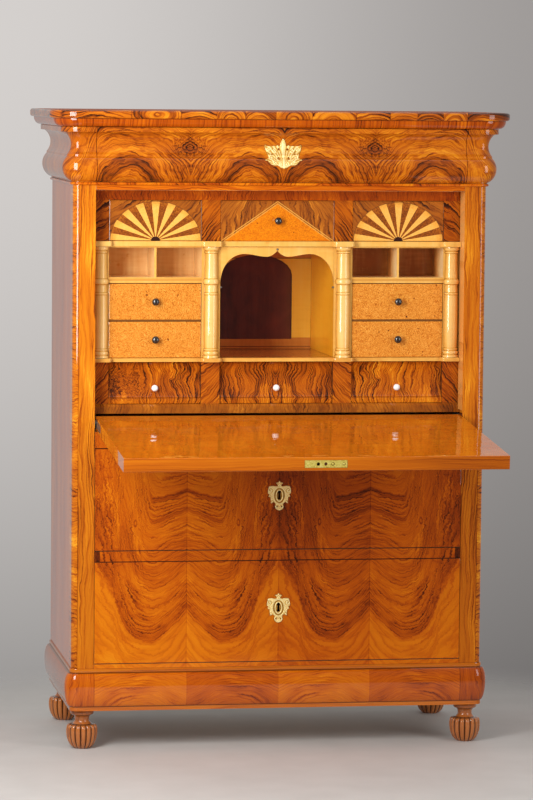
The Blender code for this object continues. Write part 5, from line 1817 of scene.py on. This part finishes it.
def make_knobs():
    """Turned knobs: a flared foot, a thin neck and a flattened ball."""
    knobs = [(node, "horn") for node in burl_drawers + ["pediment_drawer"]]
    knobs += [("base_drawer_" + label, "bone") for label in ("left", "centre", "right")]
    for node, key in knobs:
        low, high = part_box(node + "_knob")
        radius = (high.x - low.x) / 2
        length = high.y - low.y
        place = towards_front((low.x + high.x) / 2, high.y, (low.z + high.z) / 2)
        foot_shares = ((0.58, 0.0), (0.58, 0.05), (0.47, 0.10), (0.44, 0.28), (0.50, 0.33))
        foot = [(radius * wide, length * share) for wide, share in foot_shares]
        ball = arc(0.0, length * 0.66, radius, length * 0.34, -62, 78, 14)
        profile = foot + ball + [(radius * 0.10, length * 0.995)]
        mesh_data = bmesh.new()
        add_lathe(mesh_data, profile, 32, place)
        finish_piece(node + "_knob_piece", mesh_data, node + "_body", [key], (node + "_knob",))


def make_columns():
    """Split columns with turned base, ring and capital."""
    shares = (
        (1.0, 0.0), (1.0, 0.016), (0.99, 0.019), (0.88, 0.024), (0.90, 0.028), (0.97, 0.034),
        (0.99, 0.043), (0.96, 0.053), (0.86, 0.060), (0.85, 0.064), (0.91, 0.069), (0.92, 0.076),
        (0.87, 0.082), (0.83, 0.086), (0.87, 0.20), (0.875, 0.35), (0.86, 0.50), (0.845, 0.565),
        (0.90, 0.571), (0.905, 0.578), (0.87, 0.584), (0.82, 0.590), (0.81, 0.655), (0.86, 0.660),
        (0.96, 0.667), (1.0, 0.680), (0.99, 0.695), (0.92, 0.706), (0.86, 0.711), (0.83, 0.716),
        (0.80, 0.80), (0.775, 0.93), (0.78, 0.940), (0.87, 0.945), (0.88, 0.955), (0.80, 0.960),
        (0.84, 0.966), (0.95, 0.974), (0.98, 0.984), (0.98, 1.0),
    )
    for label in ("outer_left", "inner_left", "inner_right", "outer_right"):
        node = "column_" + label
        low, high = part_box(node)
        radius = (high.x - low.x) / 2
        centre_x = (low.x + high.x) / 2
        height = high.z - low.z
        rows = []
        for wide, share in shares:
            half_ring = arc(centre_x, high.y, radius * wide, radius * wide, 180, 360, 28)
            rows.append([(x, y, low.z + height * share) for x, y in half_ring])
        mesh_data = bmesh.new()
        add_loft(mesh_data, rows, wrap=True, caps=True)
        finish_piece("gallery_" + node, mesh_data, "carcase", ["column"], (node,))


def make_feet():
    """Turned feet: a disc, a waisted neck and a melon with sixteen lobes."""
    ball_shares = (
        (0.50, 0.0), (0.56, 0.012), (0.66, 0.045), (0.78, 0.10), (0.88, 0.18), (0.96, 0.28), (1.0, 0.40),
        (1.0, 0.47), (0.98, 0.54), (0.95, 0.575), (0.90, 0.600), (0.80, 0.612), (0.64, 0.622),
    )
    neck_shares = (
        (0.60, 0.632), (0.575, 0.65), (0.53, 0.665), (0.47, 0.70), (0.455, 0.75), (0.46, 0.79), (0.49, 0.82),
        (0.54, 0.845), (0.56, 0.855),
    )
    disc_shares = (
        (0.60, 0.862), (0.66, 0.868), (0.72, 0.885), (0.74, 0.91), (0.74, 0.945), (0.73, 0.965),
        (0.69, 0.985), (0.69, 1.0),
    )
    lobed_top, groove_depth = 0.615, 0.13
    for place in ("front_left", "front_right", "back_left", "back_right"):
        node = "foot_" + place
        low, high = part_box(node)
        radius = (high.x - low.x) / 2
        height = high.z - low.z
        centre_x, centre_y = (low.x + high.x) / 2, (low.y + high.y) / 2

        def swell(wide, level, angle):
            share = level / height
            if share > lobed_top or share < 0.01:
                return wide
            groove = abs(math.cos(angle * foot_lobes / 2)) ** 0.55
            depth = groove_depth * min(1.0, share / 0.06)
            return wide * (1.0 - depth + depth * groove)

        profile = [(radius * wide, height * share) for wide, share in ball_shares + neck_shares + disc_shares]
        mesh_data = bmesh.new()
        add_lathe(
            mesh_data, profile, foot_lobes * 14,
            lambda u, v, station: (centre_x + u, centre_y + v, low.z + station), swell,
        )
        finish_piece("turned_" + node, mesh_data, "carcase", ["feet"], (node,))


def make_nosed_boards():
    """Waist and cornice boards of the gallery with a rounded front edge and ressauts."""
    inner_column, outer_column = (
        sum(corner.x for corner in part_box("column_" + label)) / 2 for label in ("inner_right", "outer_right")
    )
    for node in ("gallery_waist_board", "gallery_cornice_board"):
        low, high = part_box(node)
        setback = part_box("column_inner_right")[1].y + fit_gap
        plain = setback - 0.006
        proud = low.y
        reach = opening_half - running_gap
        half = 0.0245
        bend = 0.008
        first = -outer_column + half
        outline = [(low.x, high.y), (low.x, setback), (-reach, setback), (-reach, proud)]
        outline += arc(first - bend, proud + bend, bend, bend, -90, 0, 8)
        outline.append((first, plain))
        for centre in (-inner_column, inner_column):
            outline.append((centre - half, plain))
            outline += arc(centre - half + bend, proud + bend, bend, bend, 180, 270, 8)
            outline += arc(centre + half - bend, proud + bend, bend, bend, 270, 360, 8)
            outline.append((centre + half, plain))
        outline.append((-first, plain))
        outline += arc(-first + bend, proud + bend, bend, bend, 180, 270, 8)
        outline += [(reach, proud), (reach, setback), (high.x, setback), (high.x, high.y)]
        mesh_data = bmesh.new()
        verts = add_prism(mesh_data, outline, along_z, low.z, high.z)
        rim = []
        for row in verts:
            for first_vert, second_vert in zip(row, row[1:]):
                if max(first_vert.co.y, second_vert.co.y) < setback - 0.001:
                    rim.append(mesh_data.edges.get((first_vert, second_vert)))
        bmesh.ops.bevel(
            mesh_data, geom=rim, offset=0.0042, segments=6, profile=0.5, affect="EDGES", clamp_overlap=True
        )
        key = "waist" if node == "gallery_waist_board" else "maple"
        finish_piece(node + "_piece", mesh_data, "carcase", [key], (node,))


def make_arch():
    """Fascia of the niche: two flat arches that meet in a cusp with a small pin."""
    low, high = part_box("niche_arch")
    wide = high.x
    top = high.z
    leg = top - 0.084
    crown = top - 0.0172
    crown_x = 0.0785
    right = [(wide, low.z), (wide - 0.0004, low.z)]
    right += arc(crown_x, leg, wide - crown_x - 0.0006, crown - leg, 0, 90, 22)
    drop = top - 0.0237
    cusp = top - 0.0095
    low_x = 0.025
    steps = 12
    for step in range(1, steps + 1):
        share = step / steps
        fall = (1 - math.cos(math.pi * share)) / 2
        right.append((crown_x + (low_x - crown_x) * share, crown + (drop - crown) * fall))
    for step in range(1, steps):
        share = step / steps
        right.append((low_x * (1 - share), drop + (cusp - drop) * share * share))
    outline = [(wide, top)] + right[1:] + [(0.0, cusp)]
    outline += [(-x, z) for x, z in reversed(right[1:])] + [(-wide, top)]
    mesh_data = bmesh.new()
    add_prism(mesh_data, outline, along_y, low.y, high.y, bevel=0.0006, segments=2)
    finish_piece("niche_fascia", mesh_data, "carcase", ["maple"], ("niche_arch",))
    pins = bmesh.new()
    side_x, side_z = wide - 0.002, leg - 0.012
    profile = [(0.0025, 0.0), (0.0025, 0.0012), (0.0018, 0.0021), (0.0006, 0.0025)]
    for pin_x, pin_z in ((0.0, cusp + 0.0032), (-side_x, side_z), (side_x, side_z)):
        add_lathe(pins, profile, 16, towards_front(pin_x, low.y, pin_z))
    finish_piece("niche_pins", pins, "carcase", ["iron"])


make_frieze_returns()
make_cornice_moulding()
make_compartment_top()
make_plinth()
make_stiles()
make_frieze_drawer()
make_large_fronts()
make_small_drawers()
make_cove_drawers()
make_knobs()
make_columns()
make_feet()
make_nosed_boards()
make_arch()
make_flap()
make_mounts()
make_back()

# CAD nodes that keep their shape


def dress_node(node, keys, choose=None):
    """Gives a CAD node its materials; choose returns the number of a face's material for its centre."""
    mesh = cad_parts[node].data
    mesh.materials.clear()
    for key in keys:
        mesh.materials.append(materials[key])
    if choose is not None:
        for polygon in mesh.polygons:
            polygon.material_index = choose(polygon.center)


for node, key in (
    ("side_left", "side"), ("side_right", "side"), ("lower_drawer_box", "pine"), ("upper_drawer_box", "pine"),
    ("flap_lever_left", "iron"), ("flap_lever_right", "iron"),
):
    dress_node(node, [key])

# Boards with a veneered front edge and other wood behind it; behind the gallery fronts it is the dark edge
# walnut, as painted shade
for node, keys in (
    ("bottom_board", ["front", "pine"]), ("middle_rail", ["front", "pine"]),
    ("writing_rail", ["front", "pine"]), ("gallery_base", ["gallery", "edge"]),
    ("gallery_attic", ["gallery", "edge"]),
):
    face_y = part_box(node)[0].y + 0.006
    dress_node(node, keys, lambda centre: 0 if centre.y < face_y else 1)

# Pigeonholes keep the bay maple with its painted light, and the ways of the burl drawers get the dark edge
# walnut as painted shade
way_low, way_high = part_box("burl_drawer_right_upper")
way_reach = 0.002
bay_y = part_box("gallery_bay_left")[0].y + 0.002


def bay_part(centre):
    """1 in the way of a burl drawer, otherwise 0."""
    in_way = way_low.x - way_reach < abs(centre.x) < way_high.x + way_reach and centre.z < way_high.z + 0.001
    return 1 if centre.y > bay_y and in_way else 0


for label in ("left", "right"):
    dress_node("gallery_bay_" + label, ["bay", "edge"], bay_part)

# The niche has a maple frame round its dark panel
panel_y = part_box("niche_back")[0].y + 0.001
dress_node(
    "niche_back", ["niche", "mahogany"], lambda centre: 1 if panel_y < centre.y < panel_y + 0.010 else 0
)

# Camera
camera_data = bpy.data.cameras.new("camera")
camera = add_object("camera", camera_data)
camera_data.lens = 168.07
eye = (-1.4319, -8.6070, 1.5538)
forward = Vector((0.15945, 0.98369, -0.08320)).normalized()
right = forward.cross(Vector((0, 0, 1))).normalized()
up = right.cross(forward)
roll = 0.0088
turned_right = right * math.cos(roll) + up * math.sin(roll)
turned_up = up * math.cos(roll) - right * math.sin(roll)
camera.matrix_world = Matrix((
    (turned_right.x, turned_up.x, -forward.x, eye[0]),
    (turned_right.y, turned_up.y, -forward.y, eye[1]),
    (turned_right.z, turned_up.z, -forward.z, eye[2]),
    (0.0, 0.0, 0.0, 1.0),
))
camera_data.clip_end = 60.0
bpy.context.scene.camera = camera


def area_light(name, place, width, height, strength):
    """A rectangular light that shines down until it is turned."""
    lamp = bpy.data.lights.new(name, "AREA")
    lamp.shape = "RECTANGLE"
    lamp.size = width
    lamp.size_y = height
    lamp.energy = strength
    box = add_object(name, lamp)
    box.location = place
    return box


def soft_box(name, azimuth, away, low, high, width, strength):
    """An upright soft box that faces the object; azimuth is from its front, to the right."""
    angle = math.radians(azimuth)
    place = Vector((math.sin(angle), -math.cos(angle), 0.0)) * away
    place.z = (low + high) / 2
    box = area_light(name, place, width, high - low, strength)
    target = Vector((0.0, 0.0, place.z - 0.25))
    box.rotation_euler = (target - place).to_track_quat("-Z", "Y").to_euler()


soft_box("box_left", azimuth=-43.0, away=1.9, low=0.79, high=2.25, width=0.72, strength=46.0)
soft_box("box_right", azimuth=43.0, away=2.6, low=0.45, high=2.35, width=0.85, strength=20.0)
area_light("box_top", (0.0, -0.2, 3.4), width=2.4, height=1.6, strength=8.0)

# Floor: a disc of pale paper that fades away before its edge
floor_data = bmesh.new()
bmesh.ops.create_circle(floor_data, cap_ends=True, segments=96, radius=2.2)
floor_mesh = bpy.data.meshes.new("floor")
floor_data.to_mesh(floor_mesh)
floor_data.free()
floor = add_object("floor", floor_mesh)
floor_material, tree = new_material("floor_paper")
x, y, z = places(tree)
fade = smooth(distance(x, y), 1.45, 0.80)
cloud = noise(x * 9.0, y * 9.0, 1.0, detail=3.0)
paper = ramp(cloud, ((0.3, (0.56, 0.535, 0.505)), (0.7, (0.60, 0.575, 0.545))))
shader = tree.nodes["Principled BSDF"]
plug(tree, paper, shader.inputs["Base Color"])
shader.inputs["Roughness"].default_value = 0.7
clear = tree.nodes.new("ShaderNodeBsdfTransparent")
mixer = tree.nodes.new("ShaderNodeMixShader")
plug(tree, fade, mixer.inputs[0])
tree.links.new(clear.outputs[0], mixer.inputs[1])
tree.links.new(shader.outputs[0], mixer.inputs[2])
tree.links.new(mixer.outputs[0], tree.nodes["Material Output"].inputs["Surface"])
floor_mesh.materials.append(floor_material)

# World: an even fill for the light, a room that is paler above and behind for reflections,
# and for the camera a backdrop that is darker to the right and low down
world = bpy.data.worlds.new("studio")
bpy.context.scene.world = world
world.use_nodes = True
tree = world.node_tree
x, y, z = parts_of(tree, tree.nodes.new("ShaderNodeTexCoord").outputs["Generated"])
level = clamped(0.42 + y * 0.34 + z * 0.25)
room = ramp(level, ((0.0, (0.05, 0.05, 0.05)), (0.5, (0.26, 0.26, 0.26)), (1.0, (0.62, 0.62, 0.61))))
aside = smooth(x, 0.085, 0.245) - smooth(x, 0.26, 0.50) * 0.7
drop = clamped((0.02 - z) / 0.175) ** 1.8 * smooth(z, -0.42, -0.22)
grey = ramp(clamped(aside), ((0.0, (0.66, 0.63, 0.61)), (1.0, (0.34, 0.32, 0.31))))
backdrop = scaled(grey, 1.0 - drop * 0.48)
path = tree.nodes.new("ShaderNodeLightPath")
seen = Field(tree, path.outputs["Is Camera Ray"])
glossy = Field(tree, path.outputs["Is Glossy Ray"])
fill = blend(glossy, (0.40, 0.40, 0.40), room)
plug(tree, blend(seen, fill, backdrop), tree.nodes["Background"].inputs["Color"])
tree.nodes["Background"].inputs["Strength"].default_value = 1.0

bpy.context.scene.view_settings.view_transform = "Standard"
